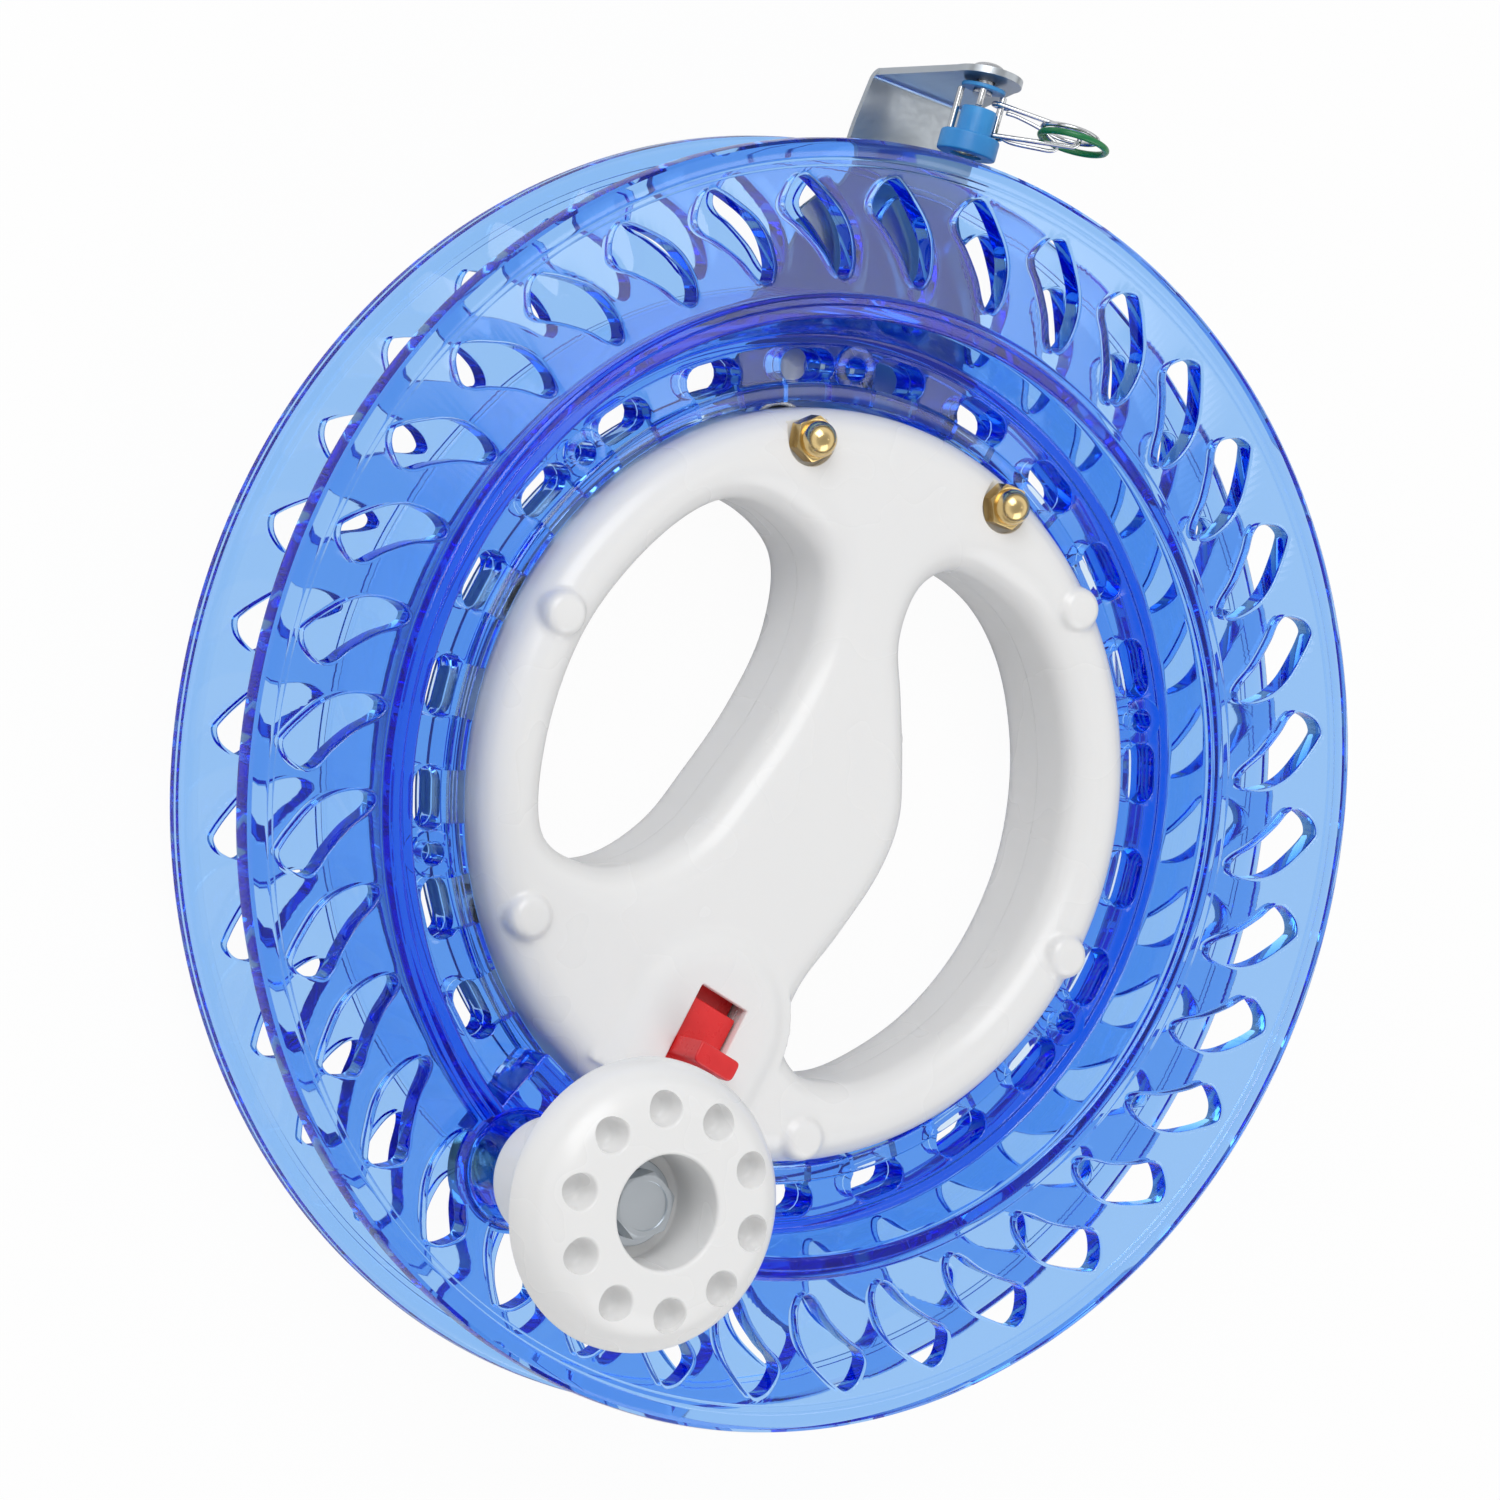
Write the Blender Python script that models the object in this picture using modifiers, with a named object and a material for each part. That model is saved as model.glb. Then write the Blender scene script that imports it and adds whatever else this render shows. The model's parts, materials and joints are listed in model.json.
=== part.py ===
"""Fishing line winder: a clear spool wheel that runs on six bearings round a fixed hand grip.

Lengths are in metres. The wheel's axis is Z and the wheel's middle plane is z = 0 of the empty named
winder, which stands at the height that puts the grip's flat back on the world's z = 0.
Angles are in degrees, counter-clockwise seen from the crank side.
"""
import math

import bmesh
import bpy
from mathutils import Matrix, Vector

# Clearances
seat_gap = 0.0003           # between pieces that rest on each other or are cut by each other
grip_gap = 0.0005           # radial, between the grip and the wheel's hub
past = 0.002                # a cutter runs this far past what it cuts
sink = 0.0008               # joined forms run this far into each other
weld = 0.000001             # mesh points closer than this are one
break_edge = 0.0006         # small broken edges
soft_edge = 0.0012          # larger ones

# Wheel
wheel_radius = 0.110
flange_front = 0.0139       # outer face of a flange, from the middle plane
flange_back = 0.0094        # inner face of a flange, from the middle plane
lip_rise = 0.0006           # the rim's lip and the drum's bead stand this much above the flange
lip_width = 0.0044
drum_radius = 0.0836        # drum's outer wall where it meets the flange
drum_valley = 0.0804        # drum's outer wall at the middle plane
drum_wall = 0.0034
web_thickness = 0.0046
web_edge = 0.0770           # where the drum's inner wall meets the web
hub_radius = 0.0686         # hub ring's outer wall
hub_front = 0.0060
wheel_steps = 54

# Teardrop openings in the flanges
teardrop_count = 36
teardrop_start = 4.4        # angle of one head
teardrop_half = 0.0050      # half of the widest place
teardrop_margin = 0.0060    # from the rim to the head
teardrop_foot = 0.0029      # from the drum to the tip
teardrop_lean = -4.0        # angle of the tip from the head
teardrop_rows = (           # share of the way from tip to head, angle from the head, share of half width
    (0.89, 0.0, 0.82),
    (0.65, -0.7, 1.0),
    (0.30, -3.0, 0.5),
)

# Slots in the web and windows in the hub for the lock
slot_count = 24
slot_radius = 0.0714
slot_width = 0.0058
slot_length = 0.0107
window_width = 0.0088
window_low = 0.0029
window_high = 0.0051
boss_angles = (127.5, 82.5, 7.5, -37.5, -97.5, -172.5)
boss_radius = 0.00415
boss_bore = 0.0020
boss_rise = 0.0006

# Grip
grip_radius = 0.0649
grip_half_depth = 0.0128
grip_edge = 0.0056          # rounding of all its edges
grip_steps = 42
ring_width = 0.0124         # of the grip's ring outside the hand openings
left_arc = (186, 168, 148, 128, 112)            # angles of the openings' outer walls
right_arc = (21, 5, -10, -24, -39, -55, -71)
left_bar = (                # inner walls of the openings, in shares of the grip's radius
    (-0.131, 0.730), (0.017, 0.595), (0.003, 0.396), (-0.100, 0.200), (-0.233, 0.031),
    (-0.351, -0.097), (-0.508, -0.180), (-0.663, -0.180),
)
right_bar = (
    (0.123, -0.789), (-0.008, -0.758), (-0.066, -0.663), (-0.018, -0.532), (0.099, -0.398),
    (0.219, -0.243), (0.282, -0.099), (0.288, 0.062), (0.277, 0.231), (0.268, 0.385),
    (0.331, 0.521), (0.462, 0.558), (0.641, 0.458),
)
ridge_tip = (0.0206, 0.0078)
ridge_foot = 0.0070         # half length of the finger ridge
ridge_depth = 0.0042
ridge_half_height = 0.0062

# Bearings, four millimetre bore
roller_circle = 0.0596
roller_angles = (93.7, 30.0, -31.0, -92.0, -161.0, 149.0)
bearing_radius = 0.0060
bearing_width = 0.0040
race_radius = 0.0042        # between the inner and the outer ring

# Nubs and screws of the grip
nub_radius = 0.0040
nub_top = 0.0143
screw_radius = 0.0018
screw_head_radius = 0.0034
screw_head_height = 0.0024
screw_recess = 0.0031
screw_reach = 0.0095

# Bracket bolts and cap nuts
bracket_angle = 73.5        # direction of the bracket and of the line guide
bolt_spread = 20.2          # angle of each bolt from the bracket's middle
bolt_head_radius = 0.0038
bolt_head_height = 0.0023
nut_flats = 0.0070
nut_hex_height = 0.0032
nut_height = 0.0078
nut_dome_radius = 0.0032
nut_seat = 0.0120           # spot face on the grip's front, from the middle plane
nut_bore_depth = 0.0058

# Bracket of bent sheet
sheet = 0.0012
bracket_face = 0.0153       # its front face lies this far behind the middle plane
bracket_foot = 0.0482       # inner edge, along the bracket's direction
bracket_half_foot = 0.0266
bracket_corner = 0.0075     # its cut corners
bracket_half_shoulder = 0.0185
shoulder_drop = 0.0140      # the shoulders' start, inside the wheel's rim
shoulder_length = 0.0080
neck_half = 0.0118
neck_half_end = 0.0078
neck_taper = 0.0095         # length over which the neck narrows to the shelf
shelf_rise = 0.0165         # outer face of the shelf, above the wheel's rim
shelf_half = 0.0069
bend_radius = 0.0030
boss_seat_radius = 0.0050   # the grip's bosses under the bracket

# Line guide, on the bracket's direction, heights above the wheel's rim
guide_forward = 0.0028      # its axis lies this far in front of the wheel's middle plane
guide_turn = 32.3           # its rest angle about its own axis
collar_radius = 0.0039
collar_height = 0.0012
body_rise = 0.0102          # upper end of the body
guide_half_wide = 0.0050
guide_half_narrow = 0.00285
flange_rise = 0.0058        # upper and lower face of its flange
flange_clear = 0.0022
guide_flange_radius = 0.0052
guide_bore = 0.0013
eyelet_radius = 0.0025
eyelet_height = 0.0014
pin_circle = 0.00375
pin_radius = 0.0006
rivet_head_radius = 0.0033
rivet_head_height = 0.0012
rivet_radius = 0.0014
rivet_tail_radius = 0.0017
rivet_tail_height = 0.0005

# Wire snap and its rings
wire_radius = 0.00045
snap_length = 0.0152        # from its pin to its round end
snap_spread = 0.0055        # between its two eyes
snap_tip = 0.0014
snap_turn = 7.7             # its rest angle on its pin
ring_radius = 0.0058
ring_wire = 0.0006
ring_place = 0.0075         # where the rings cross the snap, from its pin
ring_tilt = 11.0
steel_ring_radius = 0.0049
steel_ring_wire = 0.00045

# Lock
lock_angle = -120.0
lock_side = 0.0006          # the slot lies this much to one side of its radius
lock_travel = 0.0032
slot_inner_end = 0.0394
fin_outer = 0.0527
fin_thickness = 0.0038
fin_width = 0.0084
fin_rise = 0.0111
lock_slot_width = 0.0102
plate_width = 0.0098
plate_top = 0.0113
plate_step = 0.0030
plate_inner = 0.0416
plate_heel = 0.0375
plate_outer = 0.0560
lock_pull = 0.0045          # travel towards the axis
tongue_width = 0.0076
tongue_low = 0.0032
tongue_high = 0.0048
pad_height = 0.0017
pad_half = 0.0110
pad_skirt = 0.0060
pad_centre = 0.0445
pad_end = 0.0600

# Crank
crank_radius = 0.0847
crank_angle = -133.8
seat_radius = 0.0096
seat_top = 0.0237
seat_block_end = 0.0672
seat_block_top = 0.0143
knob_length = 0.0390
knob_radius = 0.0236
knob_rim = 0.0080
knob_stem = 0.0100
knob_waist = 0.0092
knob_round = 0.0026
counterbore_radius = 0.0096
counterbore_depth = 0.0130
dimple_count = 10
dimple_circle = 0.0168
dimple_radius = 0.0028
dimple_depth = 0.0045
dimple_start = 20.8
bolt_radius = 0.0030
hex_flats = 0.0100
hex_height = 0.0040
washer_radius = 0.0072
washer_height = 0.0012
sleeve_wall = 0.0012
insert_wall = 0.0014
insert_floor = 0.0104
bolt_reach = 0.0124

# Worked out from the sizes above
shoulder_start = wheel_radius - shoulder_drop
shoulder_end = shoulder_start + shoulder_length
shelf_top = wheel_radius + shelf_rise
guide_top = wheel_radius + body_rise
guide_flange_top = wheel_radius + flange_rise
guide_flange_low = wheel_radius + flange_clear
lip_radius = grip_radius + grip_gap
track_radius = roller_circle + bearing_radius + seat_gap
track_half = bearing_width / 2 + seat_gap
shelf_low = shelf_top - sheet
collar_top = shelf_low - seat_gap
collar_low = collar_top - collar_height
eye_radius = pin_radius + seat_gap + wire_radius
snap_low = guide_flange_top + seat_gap + wire_radius
snap_middle = snap_low + snap_spread / 2
knob_low = seat_top + seat_gap
knob_top = knob_low + knob_length
counterbore_floor = knob_top - counterbore_depth
washer_low = counterbore_floor + seat_gap
head_low = washer_low + washer_height + seat_gap
sleeve_radius = bolt_radius + seat_gap + sleeve_wall
roof = plate_top + seat_gap


def polar(radius, angle, centre=(0.0, 0.0)):
    turn = math.radians(angle)
    return (centre[0] + radius * math.cos(turn), centre[1] + radius * math.sin(turn))


def circle(radius, steps, centre=(0.0, 0.0), start=0.0):
    return [polar(radius, start + 360 * i / steps, centre) for i in range(steps)]


def smooth_loop(knots, steps):
    """A closed smooth outline through the knots, with the given steps between two of them."""
    points = []
    count = len(knots)
    for i in range(count):
        a, b, c, d = (Vector(knots[(i + k) % count]) for k in (-1, 0, 1, 2))
        for j in range(steps):
            t = j / steps
            spot = b * 2 + (c - a) * t + (a * 2 - b * 5 + c * 4 - d) * t ** 2
            spot += (b * 3 - a - c * 3 + d) * t ** 3
            points.append(tuple(spot / 2))
    return points


def clear_scene():
    for item in list(bpy.data.objects):
        bpy.data.objects.remove(item, do_unlink=True)


def make_collection(name):
    group = bpy.data.collections.new(name)
    bpy.context.scene.collection.children.link(group)
    return group


def make_material(name, color, roughness, metallic=0.0, alpha=1.0):
    material = bpy.data.materials.new(name)
    material.use_nodes = True
    shader = material.node_tree.nodes["Principled BSDF"]
    shader.inputs["Base Color"].default_value = (*color, 1.0)
    shader.inputs["Roughness"].default_value = roughness
    shader.inputs["Metallic"].default_value = metallic
    shader.inputs["Alpha"].default_value = alpha
    return material


def make_empty(name, parent=None, location=(0, 0, 0), rotation=None):
    empty = bpy.data.objects.new(name, None)
    empty.empty_display_size = 0.01
    empty.location = location
    if rotation is not None:
        empty.rotation_euler = rotation
    empty.parent = parent
    parts.objects.link(empty)
    return empty


def place(name, mesh, material, parent, location=(0, 0, 0), rotation=(0, 0, 0)):
    """A sub-part when it has a material, and a cutter or a blank to join when it has none."""
    item = bpy.data.objects.new(name, mesh)
    item.location = location
    item.rotation_euler = rotation
    item.parent = parent
    if material is None:
        item.hide_render = True
        item.display_type = "WIRE"
        cutters.objects.link(item)
    else:
        mesh.materials.append(material)
        parts.objects.link(item)
    return item


def combine(target, other, operation):
    change = target.modifiers.new(operation.title() + " " + other.name, "BOOLEAN")
    change.operation = operation
    change.solver = "EXACT"
    change.object = other


def cut(target, *others):
    for other in others:
        combine(target, other, "DIFFERENCE")


def join(target, *others):
    for other in others:
        combine(target, other, "UNION")


def merge_flat_faces(item):
    """Cuts leave their flat faces in many strips, which are one plane and become one face again."""
    tidy = item.modifiers.new("Merge flat faces", "DECIMATE")
    tidy.decimate_type = "DISSOLVE"
    tidy.angle_limit = math.radians(0.4)


def mesh_from(bm, name, smooth=False):
    mesh = bpy.data.meshes.new(name)
    bmesh.ops.recalc_face_normals(bm, faces=bm.faces)
    bm.to_mesh(mesh)
    bm.free()
    if smooth:
        mesh.shade_smooth()
        mesh.set_sharp_from_angle(angle=math.radians(35))
    return mesh


def box_mesh(name, low, high):
    bm = bmesh.new()
    centre = [(a + b) / 2 for a, b in zip(low, high)]
    size = [b - a for a, b in zip(low, high)]
    matrix = Matrix.Translation(centre) @ Matrix.Diagonal((*size, 1.0))
    bmesh.ops.create_cube(bm, size=1.0, matrix=matrix)
    return mesh_from(bm, name)


def rod_mesh(name, radius, low, high, steps, top_radius=None, start=0.0):
    bm = bmesh.new()
    turn = Matrix.Rotation(math.radians(start), 4, "Z")
    matrix = Matrix.Translation((0, 0, (low + high) / 2)) @ turn
    end = radius if top_radius is None else top_radius
    bmesh.ops.create_cone(bm, cap_ends=True, segments=steps, radius1=radius, radius2=end,
                          depth=high - low, matrix=matrix)
    return mesh_from(bm, name, smooth=True)


def turned(name, profile, steps, material, parent, location=(0, 0, 0), rotation=(0, 0, 0)):
    """Turn a profile of (radius, height) pairs round Z. It runs down its outer side.

    A profile that starts and ends on the axis makes a solid, any other is closed and makes a ring.
    """
    solid = profile[0][0] == 0.0
    mesh = bpy.data.meshes.new(name)
    edges = [(i, i + 1) for i in range(len(profile) - 1)]
    if not solid:
        edges.append((len(profile) - 1, 0))
    mesh.from_pydata([(r, 0.0, z) for r, z in profile], edges, [])
    item = place(name, mesh, material, parent, location, rotation)
    screw = item.modifiers.new("Turn", "SCREW")
    screw.axis = "Z"
    screw.angle = math.tau
    screw.steps = steps
    screw.render_steps = steps
    screw.use_merge_vertices = True
    screw.merge_threshold = weld
    return item


def flat_mesh(name, outlines, low, high, edge=0.0, edge_steps=2):
    """A plate between two heights with the given outlines; outlines inside others are holes."""
    data = bpy.data.curves.new(name, "CURVE")
    data.dimensions = "2D"
    data.fill_mode = "BOTH"
    data.extrude = (high - low) / 2 - edge
    data.bevel_depth = edge
    data.bevel_resolution = edge_steps
    data.offset = -edge
    for points in outlines:
        spline = data.splines.new("POLY")
        spline.points.add(len(points) - 1)
        for knot, spot in zip(spline.points, points):
            knot.co = (spot[0], spot[1], 0.0, 1.0)
        spline.use_cyclic_u = True
    mesh = mesh_of_curve(data)
    mesh.transform(Matrix.Translation((0, 0, (low + high) / 2)))
    return mesh


def mesh_of_curve(data):
    guide = bpy.data.objects.new(data.name, data)
    bpy.context.scene.collection.objects.link(guide)
    ready = guide.evaluated_get(bpy.context.evaluated_depsgraph_get())
    mesh = bpy.data.meshes.new_from_object(ready)
    bpy.data.objects.remove(guide)
    bm = bmesh.new()
    bm.from_mesh(mesh)
    bmesh.ops.remove_doubles(bm, verts=bm.verts, dist=weld)
    bmesh.ops.recalc_face_normals(bm, faces=bm.faces)
    bm.to_mesh(mesh)
    bm.free()
    return mesh


def loft_mesh(name, low_outline, low, high_outline, high):
    """A solid between two outlines with as many points each."""
    bm = bmesh.new()
    bottom = [bm.verts.new((x, y, low)) for x, y in low_outline]
    top = [bm.verts.new((x, y, high)) for x, y in high_outline]
    count = len(bottom)
    for i in range(count):
        j = (i + 1) % count
        bm.faces.new((bottom[i], bottom[j], top[j], top[i]))
    bm.faces.new(bottom[::-1])
    bm.faces.new(top)
    return mesh_from(bm, name)


def teardrop(angle):
    """One opening of a flange: a round head outside and a tail swept to one side."""
    head = wheel_radius - teardrop_margin
    tail = drum_radius + teardrop_foot
    left, right = [], []
    for share, lean, wide in teardrop_rows:
        x, y = polar(tail + share * (head - tail), angle + lean)
        across = Vector(polar(wide * teardrop_half, angle + lean + 90))
        left.append((x + across.x, y + across.y))
        right.append((x - across.x, y - across.y))
    return [polar(head, angle)] + left + [polar(tail, angle + teardrop_lean)] + right[::-1]


def obround(centre_radius, angle, length, width, steps=3):
    """A slot with round ends, its long side square to the radius."""
    turn = Matrix.Rotation(math.radians(angle), 2)
    points = []
    for side in (1, -1):
        for i in range(steps):
            bend = math.radians(180 * i / (steps - 1))
            x = side * width / 2 * math.cos(bend)
            y = side * ((length - width) / 2 + width / 2 * math.sin(bend))
            spot = turn @ Vector((centre_radius + x, y))
            points.append((spot.x, spot.y))
    return points


def wheel_profile():
    """Section of the front half: rim, flange, half of the valley-shaped drum, web and hub."""
    crest = flange_front + lip_rise
    lip = wheel_radius - lip_width
    seam = seat_gap / 2
    wall_top = drum_radius - drum_wall
    return [
        (wheel_radius - soft_edge, crest),
        (wheel_radius, crest - soft_edge),
        (wheel_radius, flange_back),
        (drum_radius, flange_back),
        (drum_valley, seam),
        (track_radius, seam),
        (track_radius, track_half),
        (lip_radius, track_half),
        (lip_radius, hub_front),
        (hub_radius, hub_front),
        (hub_radius, web_thickness),
        (web_edge, web_thickness),
        (wall_top, crest),
        (drum_radius - break_edge, crest),
        (drum_radius, flange_front),
        (lip, flange_front),
        (lip + break_edge, crest),
    ]


def make_wheel():
    """Both halves get the teardrops, slots and bosses; the lock's windows are in the front half only."""
    teardrops, web_slots, boss_bores = make_wheel_cutters()
    halves = []
    for name, side in (("wheel_front", 1), ("wheel_rear", -1)):
        profile = wheel_profile()
        if side < 0:
            profile = [(r, -z) for r, z in profile][::-1]
        half = turned(name, profile, wheel_steps, blue_clear, winder)
        cut(half, teardrops, web_slots)
        join(half, make_bosses("bosses_" + name, side))
        cut(half, boss_bores)
        halves.append(half)
    front, rear = halves
    cut(front, make_hub_windows())
    add_crank_seat(front)
    merge_flat_faces(front)
    merge_flat_faces(rear)


def add_crank_seat(front):
    """A round seat on the flange, run into a block that reaches to the hub."""
    block_reach = crank_radius - seat_block_end
    inner = place("seat_block", box_mesh("seat_block", (-block_reach, -seat_radius, web_thickness - sink),
                                         (0.0, seat_radius, seat_block_top)),
                  None, crank_axis, rotation=(0, 0, math.radians(crank_angle)))
    foot = seat_radius + soft_edge
    profile = [(0.0, seat_top), (seat_radius - break_edge, seat_top), (seat_radius, seat_top - break_edge),
               (seat_radius, flange_front + soft_edge), (foot, flange_front - seat_gap),
               (foot, flange_back + sink), (0.0, flange_back + sink)]
    seat = turned("seat_boss", profile, 24, None, crank_axis)
    join(front, inner, seat)
    insert_hole = rod_mesh("insert_hole", bolt_radius + insert_wall + 2 * seat_gap,
                           insert_floor - seat_gap, seat_top + past, 16)
    cut(front, place("insert_hole", insert_hole, None, crank_axis))


def make_wheel_cutters():
    high = flange_front + lip_rise + past
    drops = [teardrop(teardrop_start + 360 * i / teardrop_count) for i in range(teardrop_count)]
    slots = [obround(slot_radius, 360 * i / slot_count, slot_length, slot_width)
             for i in range(slot_count)]
    bores = [circle(boss_bore, 6, centre) for centre in boss_centres()]
    made = []
    for name, outlines, half in (("teardrops", drops, high), ("web_slots", slots, hub_front),
                                 ("boss_bores", bores, hub_front)):
        made.append(place(name, flat_mesh(name, outlines, -half, half), None, winder))
    return made


def boss_centres():
    return [polar(slot_radius, angle) for angle in boss_angles]


def make_bosses(name, side):
    blanks = [circle(boss_radius, 9, centre) for centre in boss_centres()]
    low, high = sorted((side * web_thickness / 2, side * (web_thickness + boss_rise)))
    return place(name, flat_mesh(name, blanks, low, high), None, winder)


def make_hub_windows():
    """Windows through the hub ring, one for each place where the lock's tongue can enter."""
    bm = bmesh.new()
    reach = slot_radius - lip_radius + past
    shift = Matrix.Translation((slot_radius - reach / 2, 0, (window_low + window_high) / 2))
    size = Matrix.Diagonal((reach, window_width, window_high - window_low, 1.0))
    for i in range(slot_count):
        turn = Matrix.Rotation(math.tau * i / slot_count, 4, "Z")
        bmesh.ops.create_cube(bm, size=1.0, matrix=turn @ shift @ size)
    return place("hub_windows", mesh_from(bm, "hub_windows"), None, winder)


def opening_outlines():
    """The walls of the two hand openings, either side of the S-shaped bar."""
    outlines = []
    for arc, bar in ((left_arc, left_bar), (right_arc, right_bar)):
        knots = [polar(grip_radius - ring_width, angle) for angle in arc]
        knots += [(x * grip_radius, y * grip_radius) for x, y in bar]
        outlines.append(smooth_loop(knots, 2))
    return outlines


def make_grip():
    outer = circle(grip_radius, grip_steps)
    left, right = opening_outlines()
    deep = 2 * grip_half_depth
    wide = 2 * grip_radius
    seam = seat_gap / 2
    pockets = [bearing_pocket(angle) for angle in roller_angles]
    pocket = place("bearing_pockets", flat_mesh("bearing_pockets", pockets, -track_half, track_half),
                   None, winder)
    ridge = place("finger_ridge", flat_mesh("finger_ridge", [ridge_outline()],
                                            -ridge_half_height, ridge_half_height), None, winder)
    shells = {}
    for name, side in (("grip_front", 1), ("grip_rear", -1)):
        mesh = flat_mesh(name, [outer, left[::-1], right[::-1]], -grip_half_depth, grip_half_depth,
                         edge=grip_edge, edge_steps=1)
        mesh.shade_smooth()
        mesh.set_sharp_from_angle(angle=math.radians(35))
        shell = place(name, mesh, abs_white, winder)
        join(shell, ridge)
        low, high = sorted((side * seam, -side * deep))
        away = box_mesh(name + "_split", (-wide, -wide, low), (wide, wide, high))
        cut(shell, place(name + "_split", away, None, winder), pocket)
        shells[side] = shell
    finish_front_shell(shells[1])
    finish_rear_shell(shells[-1])
    for shell in shells.values():
        merge_flat_faces(shell)


def bearing_pocket(angle):
    """Room for one bearing, round inside and open through the grip's rim."""
    room = bearing_radius + seat_gap
    turn = Matrix.Rotation(math.radians(angle), 2)
    points = []
    for i in range(7):
        x, y = polar(room, 90 + 30 * i)
        points.append(turn @ Vector((roller_circle + x, y)))
    for y in (-room, room):
        points.append(turn @ Vector((grip_radius + past, y)))
    return [(spot.x, spot.y) for spot in points]


def ridge_outline():
    """The ridge that parts two fingers, on the edge of the right hand opening."""
    x, y = ridge_tip
    back = x - 0.4 * ridge_depth
    blunt = 0.11 * ridge_foot
    return [(x - ridge_depth, y + ridge_foot), (x - ridge_depth, y - ridge_foot),
            (back, y - ridge_foot), (x, y - blunt), (x, y + blunt), (back, y + 0.6 * ridge_foot)]


def finish_front_shell(shell):
    pad = place("lock_pad", lock_pad_mesh(), None, lock_axis)
    join(shell, pad)
    dome = [(0.0, nub_top), (0.55 * nub_radius, nub_top - 0.13 * nub_radius),
            (0.88 * nub_radius, nub_top - 0.45 * nub_radius), (nub_radius, nub_top - 0.9 * nub_radius),
            (nub_radius, grip_half_depth / 2), (0.0, grip_half_depth / 2)]
    for i, angle in enumerate(roller_angles[1:], start=1):
        spot = (*polar(roller_circle, angle), 0)
        join(shell, turned(f"nub_{i}", dome, 10, None, winder, spot))
        hole = rod_mesh(f"screw_hole_{i}", screw_radius + seat_gap, -past, screw_reach + seat_gap, 8)
        cut(shell, place(f"screw_hole_{i}", hole, None, winder, spot))
    for i, spot in enumerate(bolt_spots(), start=1):
        hole = rod_mesh(f"front_bolt_hole_{i}", screw_radius + seat_gap, -past, nut_top(), 8)
        face = rod_mesh(f"spot_face_{i}", 0.62 * nut_flats + seat_gap, nut_seat, nut_top(), 12)
        cut(shell, place(f"front_bolt_hole_{i}", hole, None, winder, spot),
            place(f"spot_face_{i}", face, None, winder, spot))
    side = lock_slot_width / 2
    channel = side + seat_gap
    outer_end = fin_outer + lock_travel + seat_gap
    slot = box_mesh("lock_slot", (slot_inner_end, -side, roof - sink),
                    (outer_end, side, grip_half_depth + pad_height + past))
    heel = plate_heel - lock_pull - seat_gap
    room = box_mesh("lock_channel", (heel, -channel, tongue_low - seat_gap),
                    (plate_outer + lock_travel + seat_gap, channel, roof))
    reach = tongue_width / 2 + seat_gap
    way = box_mesh("tongue_way", (plate_outer, -reach, tongue_low - seat_gap),
                   (grip_radius + past, reach, tongue_high + seat_gap))
    for mesh in (slot, room):
        cut(shell, place(mesh.name, mesh, None, lock_axis, (0, lock_side, 0)))
    cut(shell, place(way.name, way, None, lock_axis))


def nut_top():
    return grip_half_depth + past


def bolt_spots():
    return [(*polar(roller_circle, bracket_angle + side * bolt_spread), 0) for side in (1, -1)]


def lock_pad_mesh():
    """The raised pad round the lock's slot, with a round inner end and sloped skirts."""
    outlines = []
    for half, end in ((pad_half + pad_skirt, pad_end + soft_edge), (pad_half, pad_end)):
        outline = [(pad_centre + x, lock_side + y) for x, y in
                   (polar(half, 90 + 180 * i / 10) for i in range(11))]
        outline += [(end, lock_side - half), (end, lock_side + half)]
        outlines.append(outline)
    low, high = outlines
    return loft_mesh("lock_pad", low, grip_half_depth - sink, high, grip_half_depth + pad_height)


def finish_rear_shell(shell):
    seat = -(bracket_face - seat_gap)
    for i, angle in enumerate(roller_angles[1:], start=1):
        spot = (*polar(roller_circle, angle), 0)
        hole = rod_mesh(f"screw_way_{i}", screw_radius + seat_gap, -grip_half_depth, past, 8)
        recess = rod_mesh(f"screw_recess_{i}", screw_head_radius + 2 * seat_gap,
                          -grip_half_depth - past, screw_recess - grip_half_depth, 10)
        cut(shell, place(f"screw_way_{i}", hole, None, winder, spot),
            place(f"screw_recess_{i}", recess, None, winder, spot))
    for i, spot in enumerate(bolt_spots(), start=1):
        boss = rod_mesh(f"bolt_boss_{i}", boss_seat_radius, seat, -grip_half_depth / 2, 14)
        join(shell, place(f"bolt_boss_{i}", boss, None, winder, spot))
        hole = rod_mesh(f"rear_bolt_hole_{i}", screw_radius + seat_gap, seat - past, past, 8)
        cut(shell, place(f"rear_bolt_hole_{i}", hole, None, winder, spot))


def make_bearings():
    half = bearing_width / 2
    outer = [(bearing_radius, half), (bearing_radius, -half),
             (race_radius + seat_gap / 2, -half), (race_radius + seat_gap / 2, half)]
    inner = [(race_radius - seat_gap / 2, half), (race_radius - seat_gap / 2, -half),
             (screw_radius + seat_gap, -half), (screw_radius + seat_gap, half)]
    for i, angle in enumerate(roller_angles, start=1):
        spot = (*polar(roller_circle, angle), 0)
        turned(f"bearing_outer_{i}", outer, 16, steel, winder, spot)
        turned(f"bearing_inner_{i}", inner, 10, steel, winder, spot)


def make_grip_screws():
    seat = screw_recess - grip_half_depth - seat_gap
    low = seat - screw_head_height
    profile = [(0.0, screw_reach), (screw_radius, screw_reach - soft_edge), (screw_radius, seat),
               (screw_head_radius, seat), (screw_head_radius, low + 0.4 * screw_head_height),
               (0.6 * screw_head_radius, low), (0.0, low)]
    for i, angle in enumerate(roller_angles[1:], start=1):
        turned(f"grip_screw_{i}", profile, 8, steel, winder, (*polar(roller_circle, angle), 0))


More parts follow.
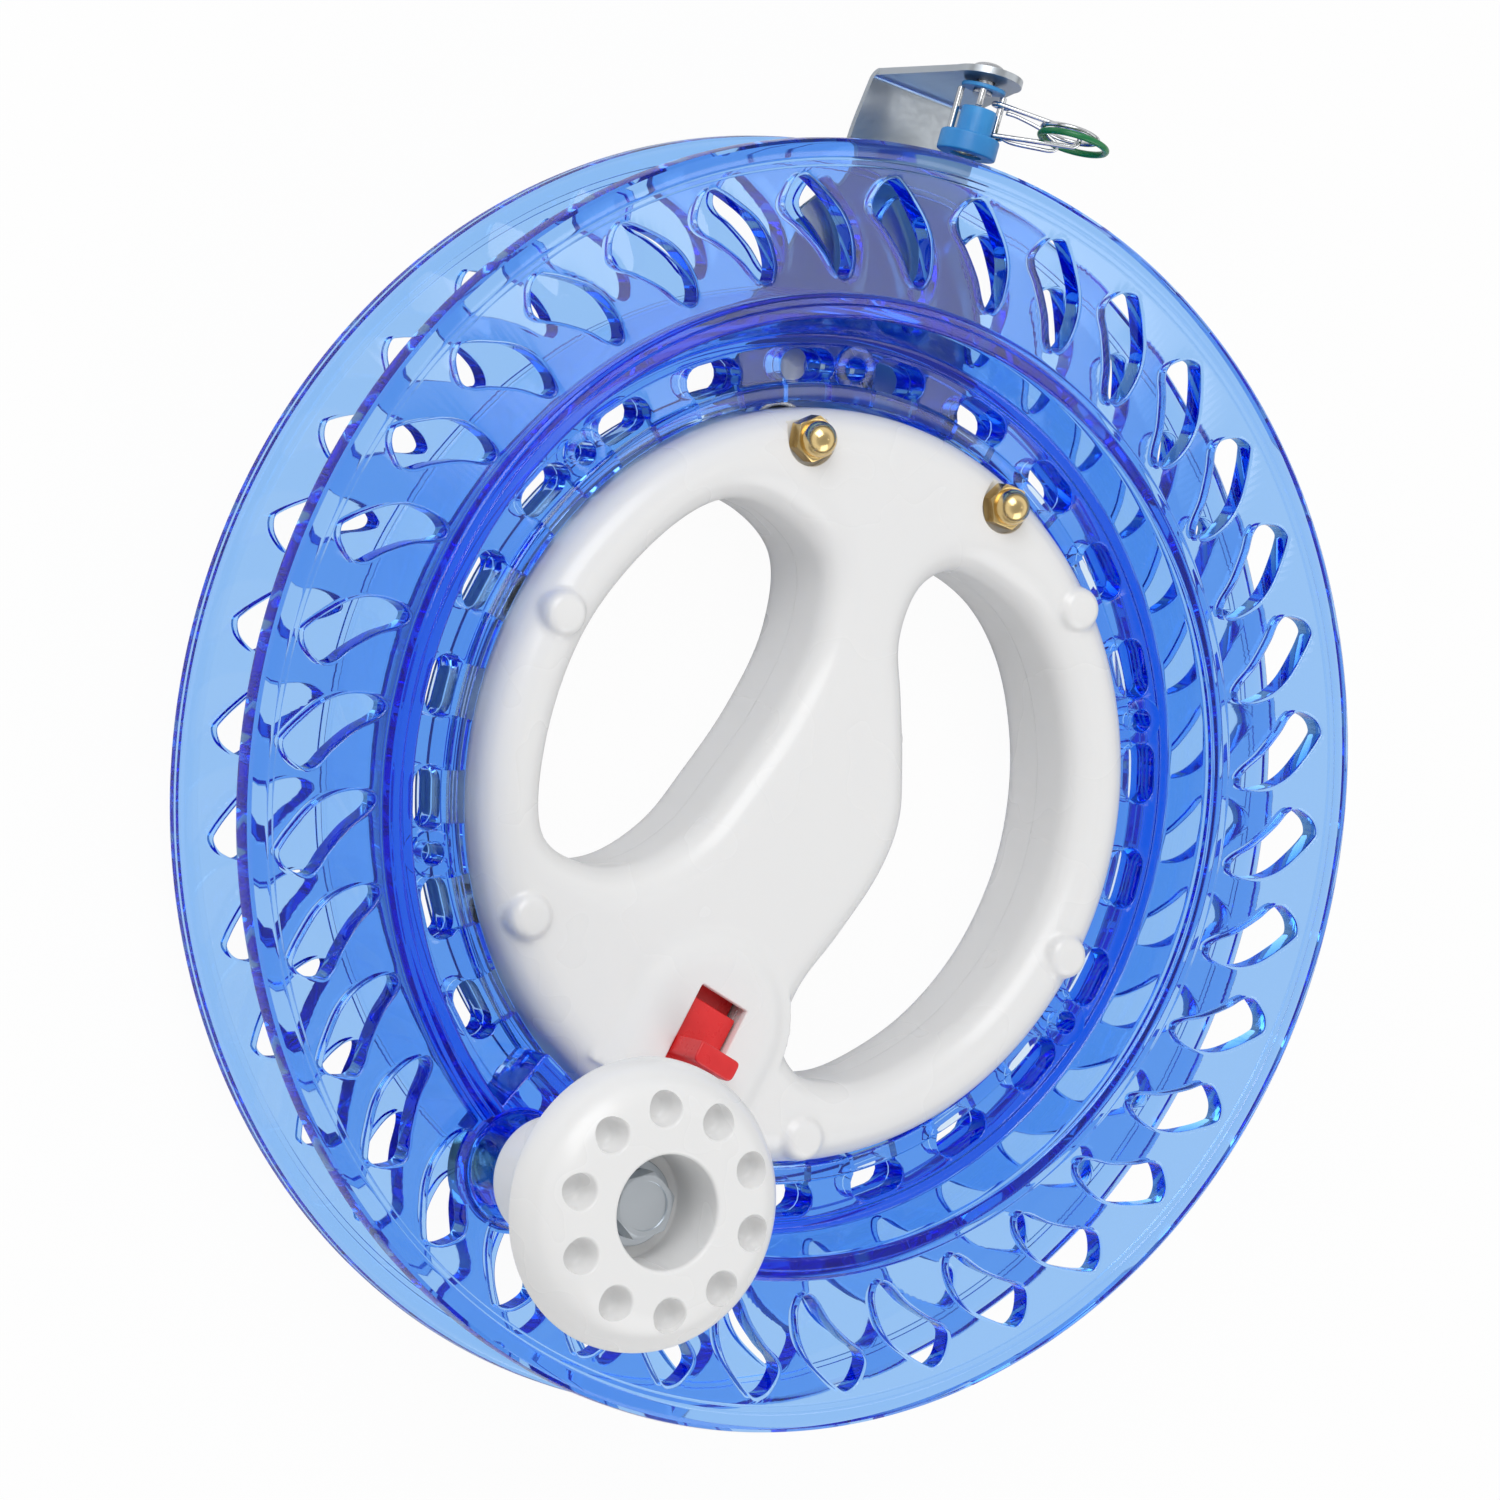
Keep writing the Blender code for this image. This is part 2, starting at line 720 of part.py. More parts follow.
def make_bracket_bolts():
    seat = -(bracket_face + sheet + seat_gap)
    low = seat - bolt_head_height
    tip = nut_seat + nut_bore_depth
    profile = [(0.0, tip), (screw_radius, tip), (screw_radius, seat), (bolt_head_radius, seat),
               (bolt_head_radius, low + break_edge), (bolt_head_radius - break_edge, low), (0.0, low)]
    base = nut_seat + seat_gap
    corner = nut_flats / 2 / math.cos(math.radians(30))
    dome_base = base + nut_hex_height
    dome = [(0.0, base + nut_height)]
    for i in range(1, 3):
        bend = math.radians(30 * i)
        rise = (nut_height - nut_hex_height) * math.cos(bend)
        dome.append((nut_dome_radius * math.sin(bend), dome_base + rise))
    dome += [(nut_dome_radius, dome_base), (nut_dome_radius, dome_base - sink), (0.0, dome_base - sink)]
    for i, spot in enumerate(bolt_spots(), start=1):
        turned(f"bracket_bolt_{i}", profile, 12, steel, winder, spot)
        hexagon = rod_mesh(f"cap_nut_{i}", corner, base, dome_base, 6, start=20 * i)
        nut = place(f"cap_nut_{i}", hexagon, brass, winder, spot)
        join(nut, turned(f"nut_dome_{i}", dome, 12, None, winder, spot))
        bore = rod_mesh(f"nut_bore_{i}", screw_radius + seat_gap, base - past,
                        base + nut_bore_depth, 8)
        cut(nut, place(f"nut_bore_{i}", bore, None, winder, spot))


def bracket_outline():
    """Half of the flat plate's outline, along and across its direction, mirrored."""
    wide = bracket_half_foot
    shoulder = bracket_half_shoulder
    half = [(bracket_foot, wide - 0.93 * bracket_corner),
            (bracket_foot + 0.29 * bracket_corner, wide - 0.29 * bracket_corner),
            (bracket_foot + bracket_corner, wide), (shoulder_start, shoulder),
            (shoulder_start + 0.44 * shoulder_length, shoulder - 0.45 * (shoulder - neck_half)),
            (shoulder_end, neck_half), (shelf_top - neck_taper, neck_half),
            (shelf_top - 0.37 * neck_taper, (neck_half + neck_half_end) / 2),
            (shelf_top + past, neck_half_end)]
    return half + [(s, -t) for s, t in half[::-1]]


def shelf_outline():
    """The shelf seen from outside: height above the middle plane, and half width."""
    wide = bracket_half_foot + past
    side = [(-bracket_face - sheet - past, wide), (-bracket_face + 0.3 * bend_radius, wide),
            (-bracket_face + bend_radius, neck_half_end)]
    end = [(guide_forward + z, t) for z, t in (polar(shelf_half, 90 - 18 * i) for i in range(11))]
    return side + end + [(z, -t) for z, t in side[::-1]]


def bracket_section():
    """The bent sheet from the side: along the plate, round the bend and out along the shelf."""
    back = -bracket_face - sheet
    inner = bend_radius - sheet
    centre = (shelf_top - bend_radius, back + bend_radius)
    reach = guide_forward + shelf_half + past
    points = [(bracket_foot - past, back)]
    points += [polar(bend_radius, -90 + 30 * i, centre) for i in range(4)]
    points += [(shelf_top, reach), (shelf_low, reach)]
    points += [polar(inner, -30 * i, centre) for i in range(4)]
    points.append((bracket_foot - past, -bracket_face))
    return points


def make_bracket():
    """The sheet's section drawn wide, then trimmed by the plate's and the shelf's outlines."""
    wide = bracket_half_foot + past
    mesh = flat_mesh("guide_bracket", [bracket_section()], -wide, wide)
    mesh.transform(Matrix.Rotation(math.radians(90), 4, "X"))
    bracket = place("guide_bracket", mesh, zinc, bracket_axis)
    reach = bracket_face + shelf_half + past
    plate = flat_mesh("plate_outline", [bracket_outline()], -reach, reach)
    shelf = flat_mesh("shelf_outline", [shelf_outline()], bracket_foot - 2 * past, shelf_top + past)
    shelf.transform(Matrix.Rotation(math.radians(90), 4, "Y") @ Matrix.Rotation(math.radians(180), 4, "Z"))
    combine(bracket, place("plate_outline", plate, None, bracket_axis), "INTERSECT")
    combine(bracket, place("shelf_outline", shelf, None, bracket_axis), "INTERSECT")
    for i, spot in enumerate(bolt_spots(), start=1):
        hole = rod_mesh(f"bracket_hole_{i}", screw_radius + seat_gap,
                        -bracket_face - sheet - past, -bracket_face + past, 10)
        cut(bracket, place(f"bracket_hole_{i}", hole, None, winder, spot))
    hole = rod_mesh("rivet_hole", rivet_radius + seat_gap, shelf_low - past, shelf_top + past, 10)
    cut(bracket, place("rivet_hole", hole, None, guide_axis))
    seat = shelf_top + seat_gap
    foot = collar_low - seat_gap
    profile = [(0.0, seat + rivet_head_height), (0.6 * rivet_head_radius, seat + 0.85 * rivet_head_height),
               (rivet_head_radius, seat + 0.3 * rivet_head_height), (rivet_head_radius, seat),
               (rivet_radius, seat), (rivet_radius, foot), (rivet_tail_radius, foot),
               (rivet_tail_radius, foot - rivet_tail_height), (0.0, foot - rivet_tail_height)]
    turned("bracket_rivet", profile, 12, steel, guide_axis)


def make_guide():
    ring = [(collar_radius, collar_top), (collar_radius, collar_low),
            (rivet_radius + seat_gap, collar_low), (rivet_radius + seat_gap, collar_top)]
    turned("guide_collar", ring, 20, guide_blue, guide_axis)
    body = flat_mesh("guide_body", [body_outline()], guide_flange_top - sink, guide_top)
    item = place("guide_body", body, guide_blue, swivel_axis)
    flange = rod_mesh("guide_flange", guide_flange_radius, guide_flange_low, guide_flange_top, 24)
    join(item, place("guide_flange", flange, None, swivel_axis))
    bore = rod_mesh("guide_bore", guide_bore, guide_flange_low - past, guide_top + past, 12)
    mouth = rod_mesh("guide_mouth", eyelet_radius + seat_gap, guide_flange_low - past,
                     guide_flange_low + eyelet_height + 2 * seat_gap, 14)
    notch = rod_mesh("eye_notch", eye_radius + wire_radius + seat_gap, guide_flange_top - seat_gap / 2,
                     snap_low + wire_radius + seat_gap, 14)
    cut(item, place("guide_bore", bore, None, swivel_axis),
        place("guide_mouth", mouth, None, swivel_axis),
        place("eye_notch", notch, None, swivel_axis, (pin_circle, 0, 0)))
    low = guide_flange_low + seat_gap
    eyelet = [(eyelet_radius, low + eyelet_height), (eyelet_radius, low),
              (guide_bore, low), (guide_bore, low + eyelet_height)]
    turned("guide_eyelet", eyelet, 14, brass, swivel_axis)
    for i in range(4):
        foot = guide_flange_top if i % 2 == 0 else guide_top
        mesh = rod_mesh(f"guide_pin_{i + 1}", pin_radius, foot + seat_gap, collar_low - seat_gap, 8)
        place(f"guide_pin_{i + 1}", mesh, chrome, swivel_axis, (*polar(pin_circle, 90 * i), 0))


def body_outline():
    """The guide's body between two pins: narrow along X, where they pass it, and long along Y."""
    points = []
    for side in (1, -1):
        for i in range(5):
            x, y = polar(guide_half_narrow, 180 * i / 4)
            points.append((side * x, side * (guide_half_wide - guide_half_narrow + y)))
    return points


def snap_route():
    """A bail of wire in one flat plane, with an eye at each end that turns on a pin of the guide."""
    low_eye = [(*polar(eye_radius, 32.5 * i - 350), snap_low) for i in range(9)]
    reach = snap_length - snap_tip - wire_radius
    tip = []
    for i in range(7):
        x, z = polar(snap_tip, 30 * i - 90)
        tip.append((reach + x, -eye_radius, snap_middle + z))
    high_eye = [(x, y, 2 * snap_middle - z) for x, y, z in low_eye[::-1]]
    return low_eye + tip + high_eye


def wire_mesh(name, route, radius, closed=False):
    data = bpy.data.curves.new(name, "CURVE")
    data.dimensions = "3D"
    data.bevel_depth = radius
    data.bevel_resolution = 1
    data.use_fill_caps = not closed
    spline = data.splines.new("POLY")
    spline.points.add(len(route) - 1)
    for knot, spot in zip(spline.points, route):
        knot.co = (*spot, 1.0)
    spline.use_cyclic_u = closed
    mesh = mesh_of_curve(data)
    mesh.shade_smooth()
    return mesh


def make_rings():
    """Two rings that cross the snap side by side, one along each of its legs."""
    span = snap_length - snap_tip - wire_radius
    leg = snap_spread / 2 + (snap_tip - snap_spread / 2) * ring_place / span
    sizes = (("snap_ring_green", ring_radius, ring_wire, green, -1),
             ("snap_ring_steel", steel_ring_radius, steel_ring_wire, chrome, 1))
    for name, radius, wire, material, side in sizes:
        mesh = wire_mesh(name, [(*point, 0.0) for point in circle(radius, 16)], wire, closed=True)
        aside = side * (leg - wire_radius - wire - seat_gap)
        place(name, mesh, material, ring_axis, (radius, 0, aside))


def make_lock():
    """A stepped plate that slides in the front shell, with a fin for the thumb and a flat tongue."""
    side = plate_width / 2
    base = box_mesh("lock_slider", (plate_heel, lock_side - side, tongue_low),
                    (plate_outer, lock_side + side, plate_top - plate_step))
    slider = place("lock_slider", base, red, lock_axis)
    upper = box_mesh("lock_plate", (plate_inner, lock_side - side, plate_top - plate_step - sink),
                     (plate_outer, lock_side + side, plate_top))
    fin = box_mesh("lock_fin", (fin_outer - fin_thickness, lock_side - side, plate_top - sink),
                   (fin_outer, lock_side - side + fin_width, plate_top + fin_rise))
    tongue = box_mesh("lock_tongue", (plate_outer - sink, -tongue_width / 2, tongue_low),
                      (grip_radius - seat_gap, tongue_width / 2, tongue_high))
    for mesh in (upper, fin, tongue):
        join(slider, place(mesh.name, mesh, None, lock_axis))


def make_crank():
    insert = bolt_radius + seat_gap + insert_wall
    bore = bolt_radius + seat_gap
    top = seat_top - seat_gap
    turned("crank_insert", [(insert, top), (insert, insert_floor), (bore, insert_floor), (bore, top)],
           16, brass, crank_axis)
    sleeve = [(sleeve_radius, washer_low - seat_gap), (sleeve_radius, knob_low),
              (bore, knob_low), (bore, washer_low - seat_gap)]
    turned("crank_sleeve", sleeve, 16, steel, crank_axis)
    washer = [(washer_radius, washer_low + washer_height), (washer_radius, washer_low),
              (bore, washer_low), (bore, washer_low + washer_height)]
    turned("crank_washer", washer, 18, zinc, crank_axis)
    corner = hex_flats / 2 / math.cos(math.radians(30))
    head = rod_mesh("crank_bolt", corner, head_low, head_low + hex_height, 6, start=12)
    bolt = place("crank_bolt", head, zinc, crank_axis)
    shank = rod_mesh("crank_shank", bolt_radius, bolt_reach, head_low + sink, 12)
    join(bolt, place("crank_shank", shank, None, crank_axis))
    knob = turned("crank_knob", knob_profile(), 26, abs_white, crank_axis)
    dimples = [circle(dimple_radius, 8, polar(dimple_circle, dimple_start + 360 * i / dimple_count))
               for i in range(dimple_count)]
    mesh = flat_mesh("dimples", dimples, knob_top - dimple_depth, knob_top + past)
    cut(knob, place("dimples", mesh, None, crank_axis))
    merge_flat_faces(knob)


def knob_profile():
    bore = sleeve_radius + seat_gap
    rim_low = knob_top - knob_rim
    third = knob_round / 3
    return [
        (knob_radius - knob_round, knob_top),
        (knob_radius - third, knob_top - third),
        (knob_radius, knob_top - knob_round),
        (knob_radius, rim_low + knob_round),
        (knob_radius - third, rim_low + third),
        (knob_radius - knob_round, rim_low),
        (knob_stem + knob_round, rim_low - 0.6 * knob_round),
        (knob_waist, rim_low - 2.7 * knob_round),
        (knob_stem, knob_low + knob_round),
        (knob_stem, knob_low),
        (bore, knob_low),
        (bore, counterbore_floor),
        (counterbore_radius, counterbore_floor),
        (counterbore_radius, knob_top),
    ]


clear_scene()
parts = make_collection("fishing_line_winder")
cutters = make_collection("cutters")

blue_clear = make_material("blue_clear", (0.10, 0.28, 0.95), 0.06, alpha=0.55)
abs_white = make_material("abs_white", (0.87, 0.87, 0.87), 0.28)
steel = make_material("steel", (0.55, 0.56, 0.58), 0.28, metallic=1.0)
chrome = make_material("chrome", (0.85, 0.86, 0.88), 0.10, metallic=1.0)
zinc = make_material("zinc_plate", (0.62, 0.66, 0.70), 0.32, metallic=1.0)
brass = make_material("brass", (0.74, 0.53, 0.22), 0.24, metallic=1.0)
red = make_material("red_plastic", (0.75, 0.03, 0.03), 0.34)
guide_blue = make_material("guide_blue", (0.05, 0.30, 0.72), 0.38)
green = make_material("green_coat", (0.01, 0.22, 0.08), 0.35)

winder = make_empty("winder", location=(0, 0, grip_half_depth))
crank_axis = make_empty("crank_axis", winder, (*polar(crank_radius, crank_angle), 0))
lock_axis = make_empty("lock_axis", winder, rotation=(0, 0, math.radians(lock_angle)))
bracket_axis = make_empty("bracket_axis", winder, rotation=(0, 0, math.radians(bracket_angle)))
# Z of the guide's axis points away from the wheel's axis, X to the right across it, Y to the back
guide_axis = make_empty("guide_axis", winder, (0, 0, guide_forward),
                        rotation=(math.radians(-90), 0, math.radians(bracket_angle - 90)))
swivel_axis = make_empty("swivel_axis", guide_axis, rotation=(0, 0, math.radians(-guide_turn)))
snap_axis = make_empty("snap_axis", swivel_axis, (pin_circle, 0, 0), (0, 0, math.radians(-snap_turn)))
ring_axis = make_empty("ring_axis", snap_axis, (ring_place, -eye_radius, snap_middle),
                       (math.radians(-ring_tilt), 0, 0))

make_wheel()
make_grip()
make_bearings()
make_grip_screws()
make_bracket_bolts()
make_bracket()
make_guide()
place("snap_bail", wire_mesh("snap_bail", snap_route(), wire_radius), chrome, snap_axis)
make_rings()
make_lock()
make_crank()
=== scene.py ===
import json
import math

import bmesh
import bpy
from mathutils import Matrix, Vector


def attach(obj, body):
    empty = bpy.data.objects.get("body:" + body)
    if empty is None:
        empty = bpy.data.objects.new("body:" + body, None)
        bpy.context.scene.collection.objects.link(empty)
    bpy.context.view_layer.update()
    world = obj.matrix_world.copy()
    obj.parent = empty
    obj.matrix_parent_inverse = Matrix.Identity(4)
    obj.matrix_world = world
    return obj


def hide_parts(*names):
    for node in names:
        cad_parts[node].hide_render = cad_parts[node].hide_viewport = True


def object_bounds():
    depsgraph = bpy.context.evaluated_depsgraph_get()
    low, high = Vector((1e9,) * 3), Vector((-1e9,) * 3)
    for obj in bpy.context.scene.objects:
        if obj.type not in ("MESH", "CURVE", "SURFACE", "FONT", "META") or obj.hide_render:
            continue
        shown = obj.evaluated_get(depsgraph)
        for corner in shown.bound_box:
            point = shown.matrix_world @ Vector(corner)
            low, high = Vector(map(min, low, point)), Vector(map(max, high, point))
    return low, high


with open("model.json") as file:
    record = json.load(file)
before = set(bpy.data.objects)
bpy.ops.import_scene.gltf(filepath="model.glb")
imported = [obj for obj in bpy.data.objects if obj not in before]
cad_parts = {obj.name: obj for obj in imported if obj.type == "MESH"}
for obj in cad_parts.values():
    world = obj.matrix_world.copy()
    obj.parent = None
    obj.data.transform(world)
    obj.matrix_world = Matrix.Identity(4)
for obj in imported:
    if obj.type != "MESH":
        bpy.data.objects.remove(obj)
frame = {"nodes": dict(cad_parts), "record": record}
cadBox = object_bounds()
nodes = frame["nodes"]
midPlane = 0.0128                      # the wheel's middle plane, above the grip's back
raised = Matrix.Translation((0, 0, midPlane))
hairline = 0.0003                      # gap between pieces that touch
overlap = 0.001                        # how far cutters and joined forms reach past a face
rollerCircle = 0.0596
rollerAngles = (93.7, 30.0, -31.0, -92.0, -161.0, 149.0)
boltAngles = (93.7, 53.3)              # the bracket's bolts; the first is a roller's axle too


# Outlines and sections

def polar(radius, angle, centre=(0.0, 0.0)):
    turn = math.radians(angle)
    return (centre[0] + radius * math.cos(turn), centre[1] + radius * math.sin(turn))


def ringOf(radius, count, start=0.0):
    return [polar(radius, start + 360 * i / count) for i in range(count)]


def turned(angle, axis="Z"):
    return Matrix.Rotation(math.radians(angle), 4, axis)


def placed(radius, angle, height=0.0):
    return Matrix.Translation((*polar(radius, angle), height))


def rollerSpot(angle):
    return placed(rollerCircle, angle, midPlane)


def softLoop(knots, steps):
    points = []
    count = len(knots)
    for i in range(count):
        a, b, c, d = (Vector(knots[(i + k) % count]) for k in (-1, 0, 1, 2))
        for j in range(steps):
            t = j / steps
            spot = b * 2 + (c - a) * t + (a * 2 - b * 5 + c * 4 - d) * t ** 2
            spot += (b * 3 - a - c * 3 + d) * t ** 3
            points.append(tuple(spot / 2))
    return points


def softPath(knots, steps):
    # an open smooth path through its knots
    ends = [2 * Vector(knots[0]) - Vector(knots[1]), 2 * Vector(knots[-1]) - Vector(knots[-2])]
    loop = softLoop([tuple(ends[0])] + list(knots) + [tuple(ends[1])], steps)
    return loop[steps:steps * len(knots)] + [tuple(knots[-1])]


def rounded(corners, fine=3, closed=True):
    # each corner is (x, y, rounding); a rounding swaps the corner for a short curve
    points = []
    count = len(corners)
    for i, (x, y, soft) in enumerate(corners):
        here = Vector((x, y))
        if soft == 0 or (not closed and i in (0, count - 1)):
            points.append((x, y))
            continue
        before = Vector(corners[i - 1][:2]) - here
        after = Vector(corners[(i + 1) % count][:2]) - here
        before *= min(soft, 0.49 * before.length) / before.length
        after *= min(soft, 0.49 * after.length) / after.length
        for j in range(fine + 1):
            t = j / fine
            spot = here + before * (1 - t) ** 2 + after * t ** 2
            points.append((spot.x, spot.y))
    return points


def tube(inner, outer, low, high, softs, fine=3):
    # the section of a ring, with the roundings of its four corners
    corners = ((inner, high), (outer, high), (outer, low), (inner, low))
    return rounded([(*corner, soft) for corner, soft in zip(corners, softs)], fine)


# Meshes: every piece is made in place, with its object at the origin as the frame's nodes are

def newObject(name, mesh):
    item = bpy.data.objects.new(name, mesh)
    bpy.context.scene.collection.objects.link(item)
    return item


def cleaned(mesh, nearby, *matrices):
    # joins points that coincide and turns the faces outwards
    for matrix in matrices:
        if matrix is not None:
            mesh.transform(matrix)
    bm = bmesh.new()
    bm.from_mesh(mesh)
    bmesh.ops.remove_doubles(bm, verts=bm.verts, dist=nearby)
    bmesh.ops.recalc_face_normals(bm, faces=bm.faces)
    bm.to_mesh(mesh)
    bm.free()
    return mesh


def fromLists(name, points, faces, matrix=None):
    mesh = bpy.data.meshes.new(name)
    mesh.from_pydata(points, [], faces)
    return newObject(name, cleaned(mesh, 0.0000005, matrix))


def layered(name, rings, matrix=None, capped=True, looped=False):
    # skins a stack of rings with as many points each
    points = [spot for ring in rings for spot in ring]
    around = len(rings[0])
    count = len(rings)
    faces = []
    for k in range(count if looped else count - 1):
        low, high = k * around, (k + 1) % count * around
        for i in range(around):
            j = (i + 1) % around
            faces.append((low + i, low + j, high + j, high + i))
    if capped and not looped:
        faces.append(tuple(range(around))[::-1])
        faces.append(tuple(range((count - 1) * around, count * around)))
    return fromLists(name, points, faces, matrix)


def spun(name, section, steps, matrix=None):
    # section of (radius, height) pairs; one that starts and ends on the axis is solid, any other is a ring
    solid = section[0][0] == 0.0
    rings = []
    for radius, height in section:
        radius = max(radius, 0.0000004)
        rings.append([(*polar(radius, 360 * i / steps), height) for i in range(steps)])
    return layered(name, rings, matrix, capped=solid, looped=not solid)


def prism(name, outline, low, high, matrix):
    return layered(name, [[(x, y, z) for x, y in outline] for z in (low, high)], matrix)


def bar(name, radius, low, high, steps, matrix):
    return spun(name, [(0.0, high), (radius, high), (radius, low), (0.0, low)], steps, matrix)


def flared(name, outline, low, high, flare, fine, matrix):
    # a cutter whose ends open outwards, so that the hole it leaves has round edges
    count = len(outline)
    spots = [Vector(spot) for spot in outline]
    area = sum(spots[i].cross(spots[(i + 1) % count]) for i in range(count))
    sense = 1 if area > 0 else -1
    away = []
    for i in range(count):
        along = (spots[(i + 1) % count] - spots[i - 1]).normalized()
        away.append(Vector((along.y, -along.x)) * sense)
    levels = []
    for j in range(fine + 1):
        bend = math.pi / 2 * j / fine
        levels.append((flare * (1 - math.sin(bend)), flare * (1 - math.cos(bend))))
    stack = [(low - flare, flare)] + [(low + rise, wide) for wide, rise in levels]
    stack += [(high - rise, wide) for wide, rise in levels[::-1]] + [(high + flare, flare)]
    rings = []
    for height, wide in stack:
        rings.append([(*(spot + side * wide), height) for spot, side in zip(spots, away)])
    return layered(name, rings, matrix)


def slab(name, outlines, low, high, edge=0.0, fine=3, matrix=None):
    # a plate from flat outlines, those inside others being holes, with round edges
    data = bpy.data.curves.new(name, "CURVE")
    data.dimensions = "2D"
    data.fill_mode = "BOTH"
    data.extrude = (high - low) / 2 - edge
    data.bevel_depth = edge
    data.bevel_resolution = fine
    data.offset = -edge
    for points in outlines:
        spline = data.splines.new("POLY")
        spline.points.add(len(points) - 1)
        for knot, spot in zip(spline.points, points):
            knot.co = (spot[0], spot[1], 0.0, 1.0)
        spline.use_cyclic_u = True
    return curveToMesh(name, data, Matrix.Translation((0, 0, (low + high) / 2)), matrix)


def curveToMesh(name, data, *matrices):
    guide = newObject(name + "Curve", data)
    ready = guide.evaluated_get(bpy.context.evaluated_depsgraph_get())
    mesh = bpy.data.meshes.new_from_object(ready)
    bpy.data.objects.remove(guide)
    return newObject(name, cleaned(mesh, 0.000001, *matrices))


def brick(name, low, high, matrix, soft=0.0):
    (x0, y0, z0), (x1, y1, z1) = low, high
    outline = [(x0, y0), (x1, y0), (x1, y1), (x0, y1)]
    if not soft:
        return prism(name, outline, z0, z1, matrix)
    return slab(name, [rounded([(x, y, soft) for x, y in outline])], z0, z1, soft * 0.9, 2, matrix)


def bend(item, kind, **settings):
    change = item.modifiers.new(kind.title(), kind)
    for key, value in settings.items():
        setattr(change, key, value)


def settle(item):
    ready = item.evaluated_get(bpy.context.evaluated_depsgraph_get())
    mesh = bpy.data.meshes.new_from_object(ready)
    old = item.data
    item.modifiers.clear()
    item.data = mesh
    bpy.data.meshes.remove(old)
    return item


def carve(target, others, operation="DIFFERENCE"):
    for other in others:
        bend(target, "BOOLEAN", operation=operation, solver="MANIFOLD", object=other)
    settle(target)
    for other in others:
        bpy.data.objects.remove(other)
    return target


def merged(name, items):
    # many separate closed cutters as one object
    bm = bmesh.new()
    for item in items:
        bm.from_mesh(item.data)
        bpy.data.objects.remove(item)
    mesh = bpy.data.meshes.new(name)
    bm.to_mesh(mesh)
    bm.free()
    return newObject(name, mesh)


def shadeSoft(item, angle=32, weighted=True):
    item.data.shade_smooth()
    item.data.set_sharp_from_angle(angle=math.radians(angle))
    if weighted:
        bend(item, "WEIGHTED_NORMAL", keep_sharp=True, weight=80)
        settle(item)
    return item


# Materials: a value or a link of a node tree, with arithmetic

def rgb(red, green, blue):
    return (red, green, blue, 1.0)


def grey(level):
    return rgb(level, level, level)


def setStops(ramp, stops):
    while len(ramp.elements) < len(stops):
        ramp.elements.new(1.0)
    for element, (place, level) in zip(ramp.elements, stops):
        element.position = place
        element.color = grey(level)


class Wire:
    def __init__(self, tree, socket):
        self.tree = tree
        self.socket = socket

    def maths(self, operation, other):
        return self.tree.node("ShaderNodeMath", {"operation": operation}, {0: self, 1: other})

    def __add__(self, other):
        return self.maths("ADD", other)

    def __mul__(self, other):
        return self.maths("MULTIPLY", other)

    def beside(self, output):
        # another output of the same node
        return Wire(self.tree, self.socket.node.outputs[output])


class NodeTree:
    def __init__(self, owner):
        owner.use_nodes = True
        self.links = owner.node_tree.links
        self.nodes = owner.node_tree.nodes

    def node(self, kind, settings=None, inputs=None, output=0):
        made = self.nodes.new(kind)
        for key, value in (settings or {}).items():
            if key == "stops":
                setStops(made.color_ramp, value)
            else:
                setattr(made, key, value)
        for key, value in (inputs or {}).items():
            self.feed(made.inputs[key], value)
        return Wire(self, made.outputs[output])

    def feed(self, socket, value):
        if isinstance(value, Wire):
            self.links.new(value.socket, socket)
        else:
            socket.default_value = value

    def span(self, value, low, high, fromLow=0.3, fromHigh=0.7):
        return self.node("ShaderNodeMapRange", {"interpolation_type": "SMOOTHSTEP"}, {
            "Value": value, "From Min": fromLow, "From Max": fromHigh, "To Min": low, "To Max": high})

    def blend(self, amount, first, second):
        # colour sockets of the Mix node
        return self.node("ShaderNodeMix", {"data_type": "RGBA"}, {0: amount, 6: first, 7: second}, 2)


class Finish(NodeTree):
    def __init__(self, name, **sockets):
        self.material = bpy.data.materials.new(name)
        super().__init__(self.material)
        self.shader = self.nodes["Principled BSDF"]
        self.output = self.nodes["Material Output"]
        for key, value in sockets.items():
            self.set(key.replace("_", " "), value)

    def set(self, key, value):
        self.feed(self.shader.inputs[key], value)

    def place(self):
        return self.node("ShaderNodeTexCoord", output="Object")

    def noise(self, scale, detail=3.0, rough=0.5, vector=None):
        return self.node("ShaderNodeTexNoise", {"noise_dimensions": "3D"}, {
            "Vector": vector or self.place(), "Scale": scale, "Detail": detail, "Roughness": rough}, "Fac")

    def bump(self, height, strength, distance):
        self.set("Normal", self.node("ShaderNodeBump", {}, {"Strength": strength, "Distance": distance,
                                                            "Height": height}))


def makeClearBlue():
    look = {"red": 205.0, "green": 100.0, "blue": 9.0}            # absorption per metre of plastic
    finish = Finish("clearBluePlastic", Base_Color=rgb(0.86, 0.93, 1.0), IOR=1.49, Transmission_Weight=1.0)
    most = max(look.values())
    shade = rgb(*(1 - look[key] / most for key in ("red", "green", "blue")))
    depth = finish.node("ShaderNodeVolumeAbsorption", {}, {"Color": shade, "Density": most})
    finish.feed(finish.output.inputs["Volume"], depth)
    finish.set("Roughness", finish.span(finish.noise(60.0), 0.012, 0.05))
    finish.bump(finish.noise(45.0, 1.0), 0.04, 0.001)
    return finish.material


